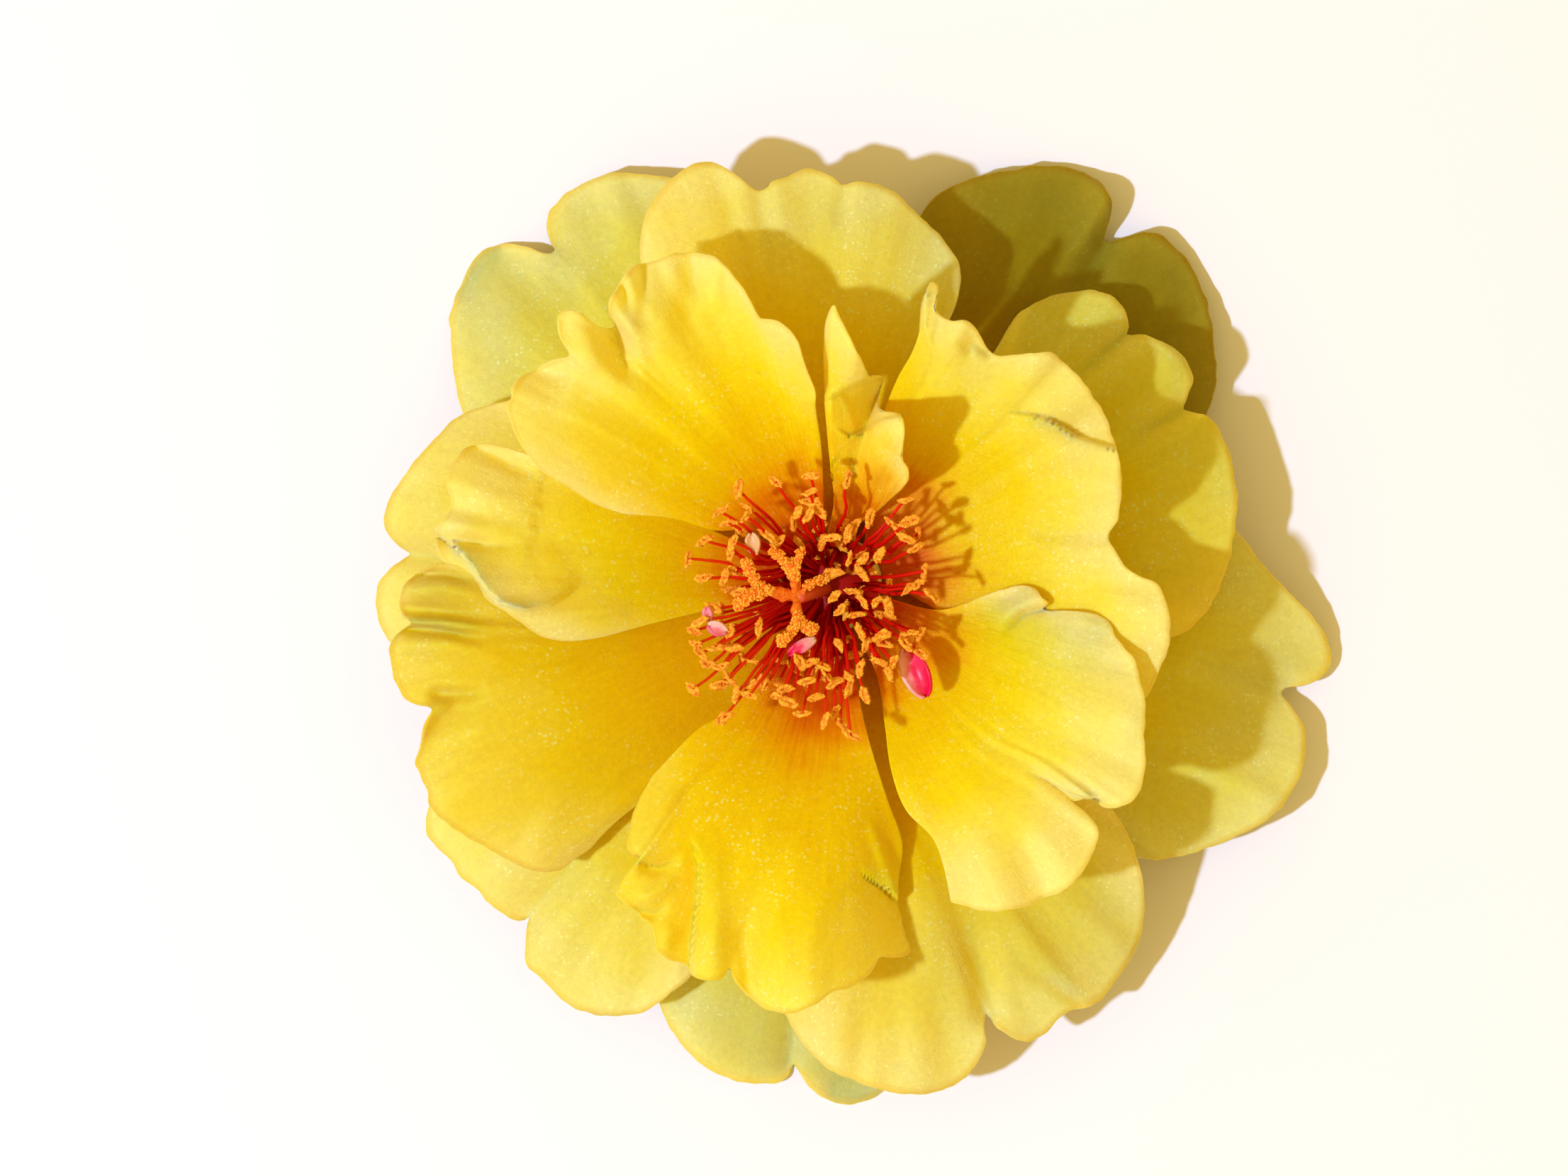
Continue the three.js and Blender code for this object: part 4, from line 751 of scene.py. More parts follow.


def petal_tissue(name, stops, throat_stops):
    """Silky petal tissue. stops run from foot to rim, and throat_stops from the axis outwards."""
    material, add = new_material(name)
    place, heart = from_axis(add)
    reach, tone, glow, painted_shade = (
        add("ShaderNodeAttribute", attribute_name=label).outputs["Fac"]
        for label in ("reach", "tone", "glow", "painted_shade")
    )

    # The colour from foot to rim, moved about by soft blotches.
    blotch = add("ShaderNodeTexNoise", {"Vector": place, "Scale": 1 / (BLOTCH * MM), "Detail": 3})
    shift = add("ShaderNodeMath", {0: blotch, 1: -0.5}, operation="ADD")
    moved = add("ShaderNodeMath", {0: shift, 1: BLOTCH_SHIFT, 2: tone}, operation="MULTIPLY_ADD")
    colour = add("ShaderNodeValToRGB", {"Fac": moved}, stops)

    # The orange throat, whose edge runs out in rags.
    uv = add("ShaderNodeUVMap", uv_map="along_petal")
    pleat_place = add("ShaderNodeMapping", {"Vector": uv, "Scale": (1 / PLEAT, PLEAT_STRETCH, 1)})
    pleats = add(
        "ShaderNodeTexNoise", {"Vector": pleat_place, "Scale": 1, "Detail": 4, "Roughness": 0.6}
    )
    edge = heart
    for pattern, push in ((glow, -MM), (pleats, PLEAT_RAG), (blotch, BLOTCH_RAG)):
        edge = add("ShaderNodeMath", {0: pattern, 1: push, 2: edge}, operation="MULTIPLY_ADD")
    start, end = (distance + (PLEAT_RAG + BLOTCH_RAG) / 2 for distance in THROAT)
    depth = add("ShaderNodeMapRange", {0: edge, 1: start, 2: end})
    throat = add("ShaderNodeValToRGB", {"Fac": depth}, throat_stops)
    colour = add("ShaderNodeMix", {0: depth, 6: throat, 7: colour}, data_type="RGBA").outputs[2]

    # Faint streaks along the pleats, and a fine mottling.
    mottle = add(
        "ShaderNodeTexNoise",
        {"Vector": place, "Scale": MOTTLES_PER_MM / MM, "Detail": 3, "Roughness": 0.7},
    )
    for pattern, darkest, palest in ((pleats, 0.955, 1.02), (mottle, 0.93, 1.05)):
        shade = add("ShaderNodeMapRange", {0: pattern, 1: 0.3, 2: 0.7, 3: darkest, 4: palest})
        colour = add("ShaderNodeVectorMath", {0: colour, 1: shade}, operation="MULTIPLY")

    # Painted glints: one cell in ten gets a pale highlight mixed into its colour, mostly in groups
    # and towards the rim. A brown line follows the rim.
    cells = add("ShaderNodeTexVoronoi", {"Vector": place, "Scale": 1 / (CELL * MM)})
    chance = add("ShaderNodeSeparateColor", {0: cells.outputs["Color"]})
    painted_glint = add("ShaderNodeMapRange", {0: chance, 1: 0.9, 2: 1, 3: 0, 4: 0.9})
    groups = add("ShaderNodeMapRange", {0: blotch, 1: 0.44, 2: 0.6, 3: 0.15, 4: 0.9})
    outer = add("ShaderNodeMapRange", {0: reach, 1: 0.35, 2: 0.85, 3: 0.2, 4: 1})
    for share in (groups, outer):
        painted_glint = add("ShaderNodeMath", {0: painted_glint, 1: share}, operation="MULTIPLY")
    margin = add("ShaderNodeMapRange", {0: reach, 1: MARGIN_FROM, 2: 1, 3: 0, 4: 0.5})
    for share, tint in ((painted_glint, PAINTED_GLINT), (margin, MARGIN_LINE)):
        mixed = add("ShaderNodeMix", {0: share, 6: colour, 7: linear(tint)}, data_type="RGBA")
        colour = mixed.outputs[2]
    # Painted shade: the petal's painted shade attribute darkens its colour towards a deep gold.
    colour_in_painted_shade = add("ShaderNodeVectorMath", {0: colour, 1: PAINTED_SHADE_KEEPS}, operation="MULTIPLY")
    colour = add("ShaderNodeMix", {0: painted_shade, 6: colour, 7: colour_in_painted_shade}, data_type="RGBA").outputs[2]

    relief = add("ShaderNodeMath", {0: pleats, 1: PLEAT_RELIEF, 2: cells}, operation="MULTIPLY_ADD")
    bump = add("ShaderNodeBump", {"Strength": 0.6, "Distance": RELIEF_DEPTH, "Height": relief})
    return finish_material(material, {
        "Base Color": colour, "Normal": bump, "Roughness": 0.42, "Specular IOR Level": 0.2,
        "Specular Tint": (1, 0.85, 0.25, 1), "Subsurface Weight": 1, "Subsurface Radius": (1, 0.72, 0.1),
        "Subsurface Scale": 0.8 * MM,
    })


outer_tissue = petal_tissue(
    "outer_petal_tissue",
    {0.0: "#dca000", 0.35: "#f4c200", 0.62: "#f5cb0c", 0.84: "#f2d456", 1.0: "#f0da80"},
    {0.0: "#cf7400", 1.0: "#e6a800"},
)
inner_tissue = petal_tissue(
    "inner_petal_tissue",
    {0.0: "#ea9800", 0.25: "#f8b600", 0.45: "#fac600", 0.64: "#fad010", 0.82: "#f7d848", 1.0: "#f3dc7c"},
    {0.0: "#ce5000", 0.35: "#de7000", 0.7: "#ec9200", 1.0: "#f6b000"},
)
twisted_tissue = petal_tissue(
    "twisted_petal_tissue",
    {0.0: "#f0aa00", 0.4: "#fcca04", 0.8: "#fbd93c", 1.0: "#f6df74"},
    {0.0: "#dc8400", 1.0: "#f8bc00"},
)
for petal in PETALS:
    finish = outer_tissue if petal["layer"] < 2 else inner_tissue
    if petal["name"] == "twisted_petal":
        finish = twisted_tissue
    petals[petal["name"]].data.materials.append(finish)

# %% [markdown]
# ## Receptacle and calyx
# Under the petals a short green column carries them, and two fleshy sepals spread from a cup
# with a flat scar, where the bloom was picked. Turning a profile round the axis makes column
# and cup. The sepals are thin sheets like the petals.

# %% Turned pieces
ROUND_STEPS = 64


def join_rings(shape, rings):
    """Joins each ring of a bmesh's points to the next one. A ring may be a single point."""
    for low, high in zip(rings, rings[1:]):
        count = max(len(low), len(high))
        for k in range(count):
            after = (k + 1) % count
            corners = [low[k % len(low)], low[after % len(low)], high[after % len(high)], high[k % len(high)]]
            corners = list(dict.fromkeys(corners))
            if len(corners) > 2:
                shape.faces.new(corners)


def turned_object(name, profile, wobble=0.0):
    """A half profile in mm turned round the axis, with a slight five-sided wobble."""
    shape = bmesh.new()
    rings = []
    for radius, height in profile:
        if radius < 1e-6:
            rings.append([shape.verts.new((0, 0, height * MM))])
            continue
        ring = []
        for k in range(ROUND_STEPS):
            turn = 2 * math.pi * k / ROUND_STEPS
            r = radius * (1 + wobble * math.sin(5 * turn + height)) * MM
            ring.append(shape.verts.new((r * math.cos(turn), r * math.sin(turn), height * MM)))
        rings.append(ring)
    join_rings(shape, rings)
    return bmesh_object(name, shape)


def bmesh_object(name, shape):
    """Makes an object of a bmesh, with its faces pointing out."""
    bmesh.ops.recalc_face_normals(shape, faces=shape.faces)
    mesh = bpy.data.meshes.new(name)
    shape.to_mesh(mesh)
    shape.free()
    return link_object(name, mesh)


COLUMN = [
    (0, 3), (2.5, 3), (2.9, 3.6), (3.05, 4.6), (3.05, 6), (3, 7.4), (2.9, 8.3), (2.5, 8.7), (0, 8.8),
]
CUP = [
    (0, 0), (1.7, 0), (1.9, 0.05), (2, 0.25), (2.1, 0.5), (2.6, 1.1), (3.05, 1.8), (3.3, 2.5),
    (3.25, 3), (2.9, 3.25), (0, 3.3),
]
SEPAL_DIRECTIONS = (40, 220)
SEPAL_FOOT, SEPAL_TIP, SEPAL_HALF = 1.6, 11.4, 5.6  # mm from the axis, and half the width
SEPAL_ROWS, SEPAL_COLUMNS = 36, 40
SEPAL_HEIGHTS = (1.3, 3.2)  # at the foot and at the tip
SEPAL_KEEL = 0.6  # depth of the hollow along the middle
SEPAL_CURL = 0.07  # how far the corners are drawn back
SEPAL_RIPPLE = 0.12
SEPAL_THICK, SEPAL_THINS = 0.28, 0.18  # half thickness at the foot, and what it loses to the tip


def sepal_grid(direction):
    """Middle surface of a sepal, its reach and its place across."""
    angle = math.radians(direction)
    reach = np.linspace(0, 1, SEPAL_ROWS)
    s, t = np.meshgrid(reach, np.linspace(-1, 1, SEPAL_COLUMNS), indexing="ij")
    half = SEPAL_HALF * np.sqrt(np.maximum(1 - (1.75 * s - 0.75) ** 2, 0.004))  # an oval, cut at the foot
    y = -t * half
    out = SEPAL_FOOT + (SEPAL_TIP - SEPAL_FOOT) * s - SEPAL_CURL * y * y * s
    rise = SEPAL_HEIGHTS[0] + (SEPAL_HEIGHTS[1] - SEPAL_HEIGHTS[0]) * np.sqrt(s)
    z = rise - SEPAL_KEEL * (1 - t * t) * s + SEPAL_RIPPLE * s * waviness(y / 2, 2 * s, direction)
    x, y = out * math.cos(angle) - y * math.sin(angle), out * math.sin(angle) + y * math.cos(angle)
    return np.dstack([x, y, z]), s, 5 * (t + 1)


receptacle = turned_object("receptacle_column", COLUMN, 0.02)
cup = turned_object("calyx_cup", CUP)
sepals = []
for number, direction in enumerate(SEPAL_DIRECTIONS, 1):
    grid, reach, across = sepal_grid(direction)
    half = SEPAL_THICK - SEPAL_THINS * reach ** 2
    sepals.append(sheet_object(f"sepal_{number}", grid, half, {"reach": reach, "across": across}))

# %% [markdown]
# The sepals are fleshy leaf tissue: green, paler at the column and the edges, mottled, and with
# a waxy skin that shines a little more than the petals do.

# %% Leaf material
LEAF_BLOTCH = 2  # mm across a blotch
LEAF_GRAIN = 0.2  # mm across a bump of the skin
LEAF_SPAN = (1.5 * MM, 13 * MM)  # the colours change between these distances from the axis
LEAF_RAG = 3 * MM  # how far blotches move them


def leaf_tissue(name, stops):
    """Fleshy green tissue, mottled, with stops from the axis outwards."""
    material, add = new_material(name)
    place, heart = from_axis(add)
    blotch = add("ShaderNodeTexNoise", {"Vector": place, "Scale": 1 / (LEAF_BLOTCH * MM), "Detail": 4})
    mottled = add("ShaderNodeMath", {0: blotch, 1: LEAF_RAG, 2: heart}, operation="MULTIPLY_ADD")
    share = add("ShaderNodeMapRange", {0: mottled, 1: LEAF_SPAN[0], 2: LEAF_SPAN[1]})
    colour = add("ShaderNodeValToRGB", {"Fac": share}, stops)
    fine = add("ShaderNodeTexNoise", {"Vector": place, "Scale": 1 / (LEAF_GRAIN * MM), "Detail": 2})
    bump = add("ShaderNodeBump", {"Strength": 0.4, "Distance": 0.05 * MM, "Height": fine})
    return finish_material(material, {
        "Base Color": colour, "Normal": bump, "Roughness": 0.4, "Subsurface Weight": 0.15,
        "Subsurface Radius": (0.6, 1, 0.2), "Subsurface Scale": 0.6 * MM,
    })


sepal_tissue = leaf_tissue("sepal_tissue", {0.0: "#b9c27a", 0.3: "#8fa648", 0.7: "#83994a", 1.0: "#b3ae6e"})
column_tissue = leaf_tissue("receptacle_tissue", {0.0: "#c9c878", 1.0: "#a9b357"})
receptacle.data.materials.append(column_tissue)
for piece in (cup, *sepals):
    piece.data.materials.append(sepal_tissue)

# %% [markdown]
# ## Where the stamens end
# Well over a hundred stamens rise from a red disc. The anthers that show are placed and
# turned by the table. Shorter stamens fill the depth of the heart, at seeded places that keep
# clear of each other because each one turns on by the golden angle.

# %% Where the anthers sit: x, y in mm and their turn in degrees
ANTHERS = [
    (-5.9, 5.8, 75), (-7, 4.4, 30), (-5.3, 4.7, -30), (-5.4, 4.1, 60), (-6.5, 3.7, 15), (-3.6, 6.3, -40),
    (-1.4, 6.6, 5), (0.85, 6.4, 80), (-2.2, 4.4, 60), (-1.4, 5, -10), (-1.5, 5.6, 10), (-1.5, 4.2, 60),
    (-0.8, 4.4, -50), (4.5, 5.2, 10), (2.3, 4.1, 70), (0.9, 3, 80), (1.3, 3.4, 55), (-0.7, 2.5, 65),
    (-0.1, 2.8, 10), (3.6, 3.7, -35), (4.1, 3.2, -60), (4.7, 3.8, 20), (5.2, 3, 70), (4.5, 2.8, -20),
    (5.2, 2.2, 30), (1, 1.5, 80), (1.8, 1.4, 45), (1.8, 0.6, -50), (2.9, 1.8, 60), (0, 0.6, 10),
    (5.6, 0.7, 75), (4.6, -0.4, 45), (5.2, -0.1, 30), (6.1, -0.8, -40), (0.1, -0.9, 50), (1.2, -0.5, -10),
    (1.8, -1.1, -60), (0.4, -1.7, 40), (1.4, -2, 5), (2.7, -1.2, 45), (3.5, -1.5, -80), (1.7, -3.1, -65),
    (2, -3.9, 60), (0.3, -3.9, -60), (3, -3.3, 20), (3.2, -3.8, -10), (4.7, -3.2, 10), (5.3, -3.3, 60),
    (5.4, -4.4, -55), (4.5, -3.8, -40), (-8, 2.6, 30), (-9, 1.5, 80), (-8.1, 0.3, 10), (-6.4, 1.9, -80),
    (-6.2, 2.5, 70), (-6.5, 0.8, 25), (-6.8, 0.3, 60), (-5.8, -0.6, 10), (-3.4, 2.6, 30), (-4.1, 2.9, -30),
    (-5.7, 3.2, -20), (-8.3, -2.4, 20), (-8.6, -3, -20), (-4.6, -2.8, 75), (-6.4, -3.1, 85),
    (-8.5, -3.8, -20), (-8.2, -4.4, -45), (-7.7, -5.1, -20), (-6.9, -5.2, 10), (-6.2, -4, 0),
    (-7.3, -4, 10), (-5.2, -4.8, -15), (-8.7, -6.6, -50), (-7, -6.3, 10), (-6.8, -8.4, 40),
    (-6.4, -5.9, -50), (-6, -6.9, 80), (-5.1, -6.3, 30), (-5.2, -7, -20), (-4.2, -6.4, 70),
    (-2.1, -4.9, -60), (-1.5, -5, 20), (-0.7, -5.2, -20), (-1.2, -5.6, 60), (-1.6, -6.1, 10),
    (-0.4, -5.7, -40), (-3, -6.6, 10), (-3.3, -7.1, -20), (-2.8, -7.4, -20), (-1.1, -7.1, 10),
    (-1.9, -8.1, 0), (0.1, -6.2, 30), (1, -5.8, -50), (1, -6.5, 70), (1.7, -5.3, 70), (2, -7, -70),
    (-0.5, -8.6, 70), (0.1, -8, 50), (0.5, -8.8, -45), (1.1, -9.5, -30), (2.8, -4.9, -15), (3.7, -5, 60),
    (3.4, -5.6, -60), (-7.4, -1.6, -30),
]
TIP_HEIGHTS = (12.2, 14.4)  # mm, nearest and furthest tips
TIP_JITTER = 0.6
TIP_TILT = 0.12  # the tuft leans, so its tips are this much higher for each mm to the left
TIP_SPREAD = 9  # mm from the tuft's middle to its furthest tips
TUFT_MIDDLE = (-0.6, -0.6)
INNER_MIDDLE = (-1.6, -1.6)
INNER_COUNT = 46
INNER_RADII = (2, 5.4)
INNER_JITTER = 0.3
INNER_DROP = (1.4, 3)  # the inner stamens end this much lower
DISC = [(0, 8.7), (2.4, 8.8), (2.8, 9.1), (2.7, 9.5), (2, 9.9), (0.9, 10.05), (0, 10.1)]
SEED = 7

rng = random.Random(SEED)


def tip_point(x, y, drop):
    """A stamen's tip over x and y, higher the further out it is, in metres."""
    share = min(1, math.hypot(x - TUFT_MIDDLE[0], y - TUFT_MIDDLE[1]) / TIP_SPREAD)
    z = TIP_HEIGHTS[0] + (TIP_HEIGHTS[1] - TIP_HEIGHTS[0]) * math.sqrt(share) - drop - TIP_TILT * x
    return (x * MM, y * MM, z * MM)


tips = [tip_point(x, y, rng.uniform(-TIP_JITTER, TIP_JITTER)) for x, y, _ in ANTHERS]
tip_turns = [math.radians(turn) for _, _, turn in ANTHERS]
for number in range(INNER_COUNT):
    turn = number * math.pi * (3 - math.sqrt(5))
    radius = INNER_RADII[0] + (INNER_RADII[1] - INNER_RADII[0]) * math.sqrt((number + 0.5) / INNER_COUNT)
    x = INNER_MIDDLE[0] + radius * math.cos(turn) + rng.uniform(-INNER_JITTER, INNER_JITTER)
    y = INNER_MIDDLE[1] + radius * math.sin(turn) + rng.uniform(-INNER_JITTER, INNER_JITTER)
    tips.append(tip_point(x, y, rng.uniform(*INNER_DROP)))
    tip_turns.append(rng.uniform(0, math.pi))
print(len(tips), "stamens")

# %% [markdown]
# ## Running a tree
# A helper makes an empty tree with named inputs, and another runs a tree on points or on a
# mesh, with each input set by its identifier, and keeps the result as a plain mesh. Each tree
# ends by making its instances real, because only a real mesh can be a finished piece.

# %% Helpers for Geometry Nodes
def new_tree(name, inputs):
    """A Geometry Nodes tree with more named inputs, a way to add nodes to it, and its inputs."""
    tree = bpy.data.node_groups.new(name, "GeometryNodeTree")
    tree.interface.new_socket("Geometry", in_out="INPUT", socket_type="NodeSocketGeometry")
    for label, kind in inputs.items():
        tree.interface.new_socket(label, in_out="INPUT", socket_type="NodeSocket" + kind)
    tree.interface.new_socket("Geometry", in_out="OUTPUT", socket_type="NodeSocketGeometry")
    return tree, partial(add_node, tree), tree.nodes.new("NodeGroupInput").outputs


def finish_tree(tree, geometry, finish):
    """Ends a tree: instances are made real and get their material."""
    real = add_node(tree, "GeometryNodeRealizeInstances", {0: geometry})
    dressed = add_node(tree, "GeometryNodeSetMaterial", {"Geometry": real, "Material": finish})
    add_node(tree, "NodeGroupOutput", {0: dressed})


def wander(add, here, waves_per_mm, detail, size):
    """A push in any direction at each place, smooth along the piece and up to half of size."""
    pattern = add("ShaderNodeTexNoise", {"Vector": here, "Scale": waves_per_mm / MM, "Detail": detail})
    centred = add(
        "ShaderNodeVectorMath", {0: pattern.outputs["Color"], 1: (0.5, 0.5, 0.5)}, operation="SUBTRACT"
    )
    return add("ShaderNodeVectorMath", {0: centred, 3: size}, operation="SCALE")


def grow(name, source, tree, values):
    """Runs a tree on a copy of a mesh and keeps its result as a new object's plain mesh."""
    piece = bpy.data.objects.new(name, source.copy())
    bpy.context.scene.collection.objects.link(piece)
    modifier = piece.modifiers.new(tree.name, "NODES")
    modifier.node_group = tree
    for socket in tree.interface.items_tree:
        if socket.in_out == "INPUT" and socket.name in values:
            modifier[socket.identifier] = values[socket.name]
    bpy.context.view_layer.update()
    evaluated = piece.evaluated_get(bpy.context.evaluated_depsgraph_get())
    mesh = bpy.data.meshes.new_from_object(evaluated)
    piece.modifiers.remove(modifier)
    piece.data = mesh
    print(name, len(mesh.polygons), "faces")
    return piece


# %% [markdown]
# ## Stalks
# The stalk tree draws a bent line from the disc to each tip and gives it thickness. A stalk
# leaves the disc steeply and leans outwards later, as a real one does. A little noise makes
# each one wander.

# %% The stalk tree
stalk_tree, add, given = new_tree("stamen_stalks", {
    "Stalk radius": "Float", "Ring inner": "Float", "Ring outer": "Float", "Root height": "Float",
    "Bend": "Vector", "Wander": "Float", "Finish": "Material", "Seed": "Int",
})
here = add("GeometryNodeInputPosition")
level = add("ShaderNodeVectorMath", {0: here, 1: (1, 1, 0)}, operation="MULTIPLY")
outward = add("ShaderNodeVectorMath", {0: level}, operation="NORMALIZE")
ring_reach = add(
    "FunctionNodeRandomValue",
    {2: given["Ring inner"], 3: given["Ring outer"], "Seed": given["Seed"]}, data_type="FLOAT",
).outputs[1]
ring_place = add("ShaderNodeVectorMath", {0: outward, 3: ring_reach}, operation="SCALE")
lifted = add("ShaderNodeCombineXYZ", {2: given["Root height"]})
root = add("ShaderNodeVectorMath", {0: ring_place, 1: lifted})
marked = given["Geometry"]
for label, value in (("root", root), ("tip", here)):
    marked = add(
        "GeometryNodeStoreNamedAttribute",
        {"Geometry": marked, "Name": label, "Value": value}, data_type="FLOAT_VECTOR",
    )
points = add("GeometryNodeMeshToPoints", {"Mesh": marked})
line = add("GeometryNodeCurvePrimitiveLine", {"End": (0, 0, 0.01)})
line = add("GeometryNodeResampleCurve", {"Curve": line, "Count": 12})
lines = add("GeometryNodeInstanceOnPoints", {"Points": points, "Instance": line})
lines = add("GeometryNodeRealizeInstances", {0: lines})
root, tip = (
    add("GeometryNodeInputNamedAttribute", {"Name": label}, data_type="FLOAT_VECTOR")
    for label in ("root", "tip")
)
along = add("GeometryNodeSplineParameter")
knee = add(
    "ShaderNodeMix", {1: given["Bend"], 4: root, 5: tip},
    data_type="VECTOR", factor_mode="NON_UNIFORM",
).outputs[1]
lower, upper = (
    add("ShaderNodeMix", {0: along, 4: start, 5: end}, data_type="VECTOR").outputs[1]
    for start, end in ((root, knee), (knee, tip))
)
bent = add("ShaderNodeMix", {0: along, 4: lower, 5: upper}, data_type="VECTOR").outputs[1]
half_turn = add("ShaderNodeMath", {0: along, 1: math.pi}, operation="MULTIPLY")
ends_still = add("ShaderNodeMath", {0: half_turn}, operation="SINE")
drift_size = add("ShaderNodeMath", {0: ends_still, 1: given["Wander"]}, operation="MULTIPLY")
drift = wander(add, bent, waves_per_mm=0.35, detail=1, size=drift_size)
placed = add("GeometryNodeSetPosition", {"Geometry": lines, "Position": bent, "Offset": drift})
taper = add("ShaderNodeMapRange", {0: along, 3: 1, 4: 0.6})
ring = add("GeometryNodeCurvePrimitiveCircle", {"Resolution": 7, "Radius": given["Stalk radius"]})
stalks = add(
    "GeometryNodeCurveToMesh",
    {"Curve": placed, "Profile Curve": ring, "Scale": taper, "Fill Caps": True},
)
finish_tree(stalk_tree, stalks, given["Finish"])

# %% [markdown]
# ## Anthers
# One anther is a pair of pollen sacs that have split open: from above a narrow lozenge with a
# thick, crumbly rim and a sunken middle. A ring with an oval path and a thin floor makes it.
# The anther tree puts one on each tip, turned as the tip's own value says and rolled at random,
# so that some stand on edge. A noise then bends each one, so that no two look alike.

# %% One anther, and the anther tree
ANTHER_HALF_LENGTH, ANTHER_HALF_WIDTH, ANTHER_TUBE = 0.43, 0.13, 0.12  # mm
ANTHER_AROUND, ANTHER_SIDES = 14, 6
ANTHER_FLOOR = 0.03  # mm, half the floor's thickness
LUMP, CRUMB = (0.7, 1.3), (0.8, 1.2)  # how unevenly thick the rim is, ring by ring and point by point


def anther_object():
    """An open, lozenge-shaped anther, centred on the origin."""
    shape = bmesh.new()
    rings = []
    turns = [2 * math.pi * i / ANTHER_AROUND for i in range(ANTHER_AROUND)]
    half_length, half_width = ANTHER_HALF_LENGTH, ANTHER_HALF_WIDTH
    oval = [Vector((half_length * math.cos(a), half_width * math.sin(a), 0)) for a in turns]
    for centre, turn in zip(oval, turns):
        outward = Vector((math.cos(turn), math.sin(turn), 0))
        tube_radius = ANTHER_TUBE * rng.uniform(*LUMP)
        ring = []
        for k in range(ANTHER_SIDES):
            roll = 2 * math.pi * k / ANTHER_SIDES
            spoke = math.cos(roll) * outward + math.sin(roll) * Vector((0, 0, 1))
            ring.append(shape.verts.new((centre + tube_radius * rng.uniform(*CRUMB) * spoke) * MM))
        rings.append(ring)
    for ring, after in zip(rings, rings[1:] + rings[:1]):
        for k in range(ANTHER_SIDES):
            m = (k + 1) % ANTHER_SIDES
            shape.faces.new([ring[k], after[k], after[m], ring[m]])
    for height in (ANTHER_FLOOR, -ANTHER_FLOOR):
        shape.faces.new([shape.verts.new((point + Vector((0, 0, height))) * MM) for point in oval])
    return bmesh_object("anther", shape)


anther = anther_object()
anther_tree, add, given = new_tree("anthers", {
    "Anther": "Object", "Smallest": "Float", "Largest": "Float", "Roll": "Vector",
    "Crumple": "Float", "Finish": "Material", "Seed": "Int",
})
points = add("GeometryNodeMeshToPoints", {"Mesh": given["Geometry"]})
other_way = add("ShaderNodeVectorMath", {0: given["Roll"], 3: -1.0}, operation="SCALE")
roll = add(
    "FunctionNodeRandomValue", {0: other_way, 1: given["Roll"], "Seed": given["Seed"]},
    data_type="FLOAT_VECTOR",
)
turn = add("GeometryNodeInputNamedAttribute", {"Name": "turn"}, data_type="FLOAT")
turn = add("ShaderNodeCombineXYZ", {2: turn})
rotation = add("ShaderNodeVectorMath", {0: roll, 1: turn})
size = add(
    "FunctionNodeRandomValue",
    {2: given["Smallest"], 3: given["Largest"], "Seed": given["Seed"]}, data_type="FLOAT",
).outputs[1]
anther_shape = add("GeometryNodeObjectInfo", {"Object": given["Anther"]})
anthers = add(
    "GeometryNodeInstanceOnPoints",
    {"Points": points, "Instance": anther_shape.outputs["Geometry"], "Rotation": rotation, "Scale": size},
)
anthers = add("GeometryNodeRealizeInstances", {0: anthers})
here = add("GeometryNodeInputPosition")
bend = wander(add, here, waves_per_mm=1.1, detail=2, size=given["Crumple"])
anthers = add("GeometryNodeSetPosition", {"Geometry": anthers, "Offset": bend})
finish_tree(anther_tree, anthers, given["Finish"])

# %% [markdown]
# Pollen lies on anthers and stigma as loose grains. A third tree scatters small grains over
# any mesh, so both use it.

# %% The pollen tree
pollen_tree, add, given = new_tree("pollen_dust", {
    "Grains per square metre": "Float", "Grain radius": "Float", "Finish": "Material", "Seed": "Int",
})
grain_places = add(
    "GeometryNodeDistributePointsOnFaces",
    {"Mesh": given["Geometry"], "Density": given["Grains per square metre"], "Seed": given["Seed"]},
)
grain = add("GeometryNodeMeshIcoSphere", {"Radius": given["Grain radius"], "Subdivisions": 1})
grain_size = add(
    "FunctionNodeRandomValue", {2: 0.6, 3: 1.3, "Seed": given["Seed"]}, data_type="FLOAT"
).outputs[1]
grains = add(
    "GeometryNodeInstanceOnPoints",
    {"Points": grain_places, "Instance": grain, "Scale": grain_size},
)
finish_tree(pollen_tree, grains, given["Finish"])

# %% [markdown]
# ## Colours of the tuft
# The stalks are satin and red, darker towards the heart. Anthers and pollen are matt and
# egg-yolk orange, with browner hollows: the grains scatter light instead of shining.

# %% Tuft materials
STALK_SPAN = (1.5 * MM, 9 * MM)  # the stalks' reds change between these distances from the axis
POLLEN_LUMP = 0.25  # mm across a lump of pollen


def stalk_finish():
    """Satin red stalk tissue that lightens from the heart outwards."""
    material, add = new_material("stamen_stalk_tissue")
    _, heart = from_axis(add)
    share = add("ShaderNodeMapRange", {0: heart, 1: STALK_SPAN[0], 2: STALK_SPAN[1]})
    colour = add(
        "ShaderNodeValToRGB", {"Fac": share},
        {0.0: "#a80400", 0.3: "#c80a00", 0.6: "#d81a04", 1.0: "#d83c08"},
    )
    return finish_material(material, {
        "Base Color": colour, "Roughness": 0.45, "Specular IOR Level": 0.15, "Subsurface Weight": 0.3,
        "Subsurface Radius": (1, 0.2, 0.1), "Subsurface Scale": 0.2 * MM,
    })


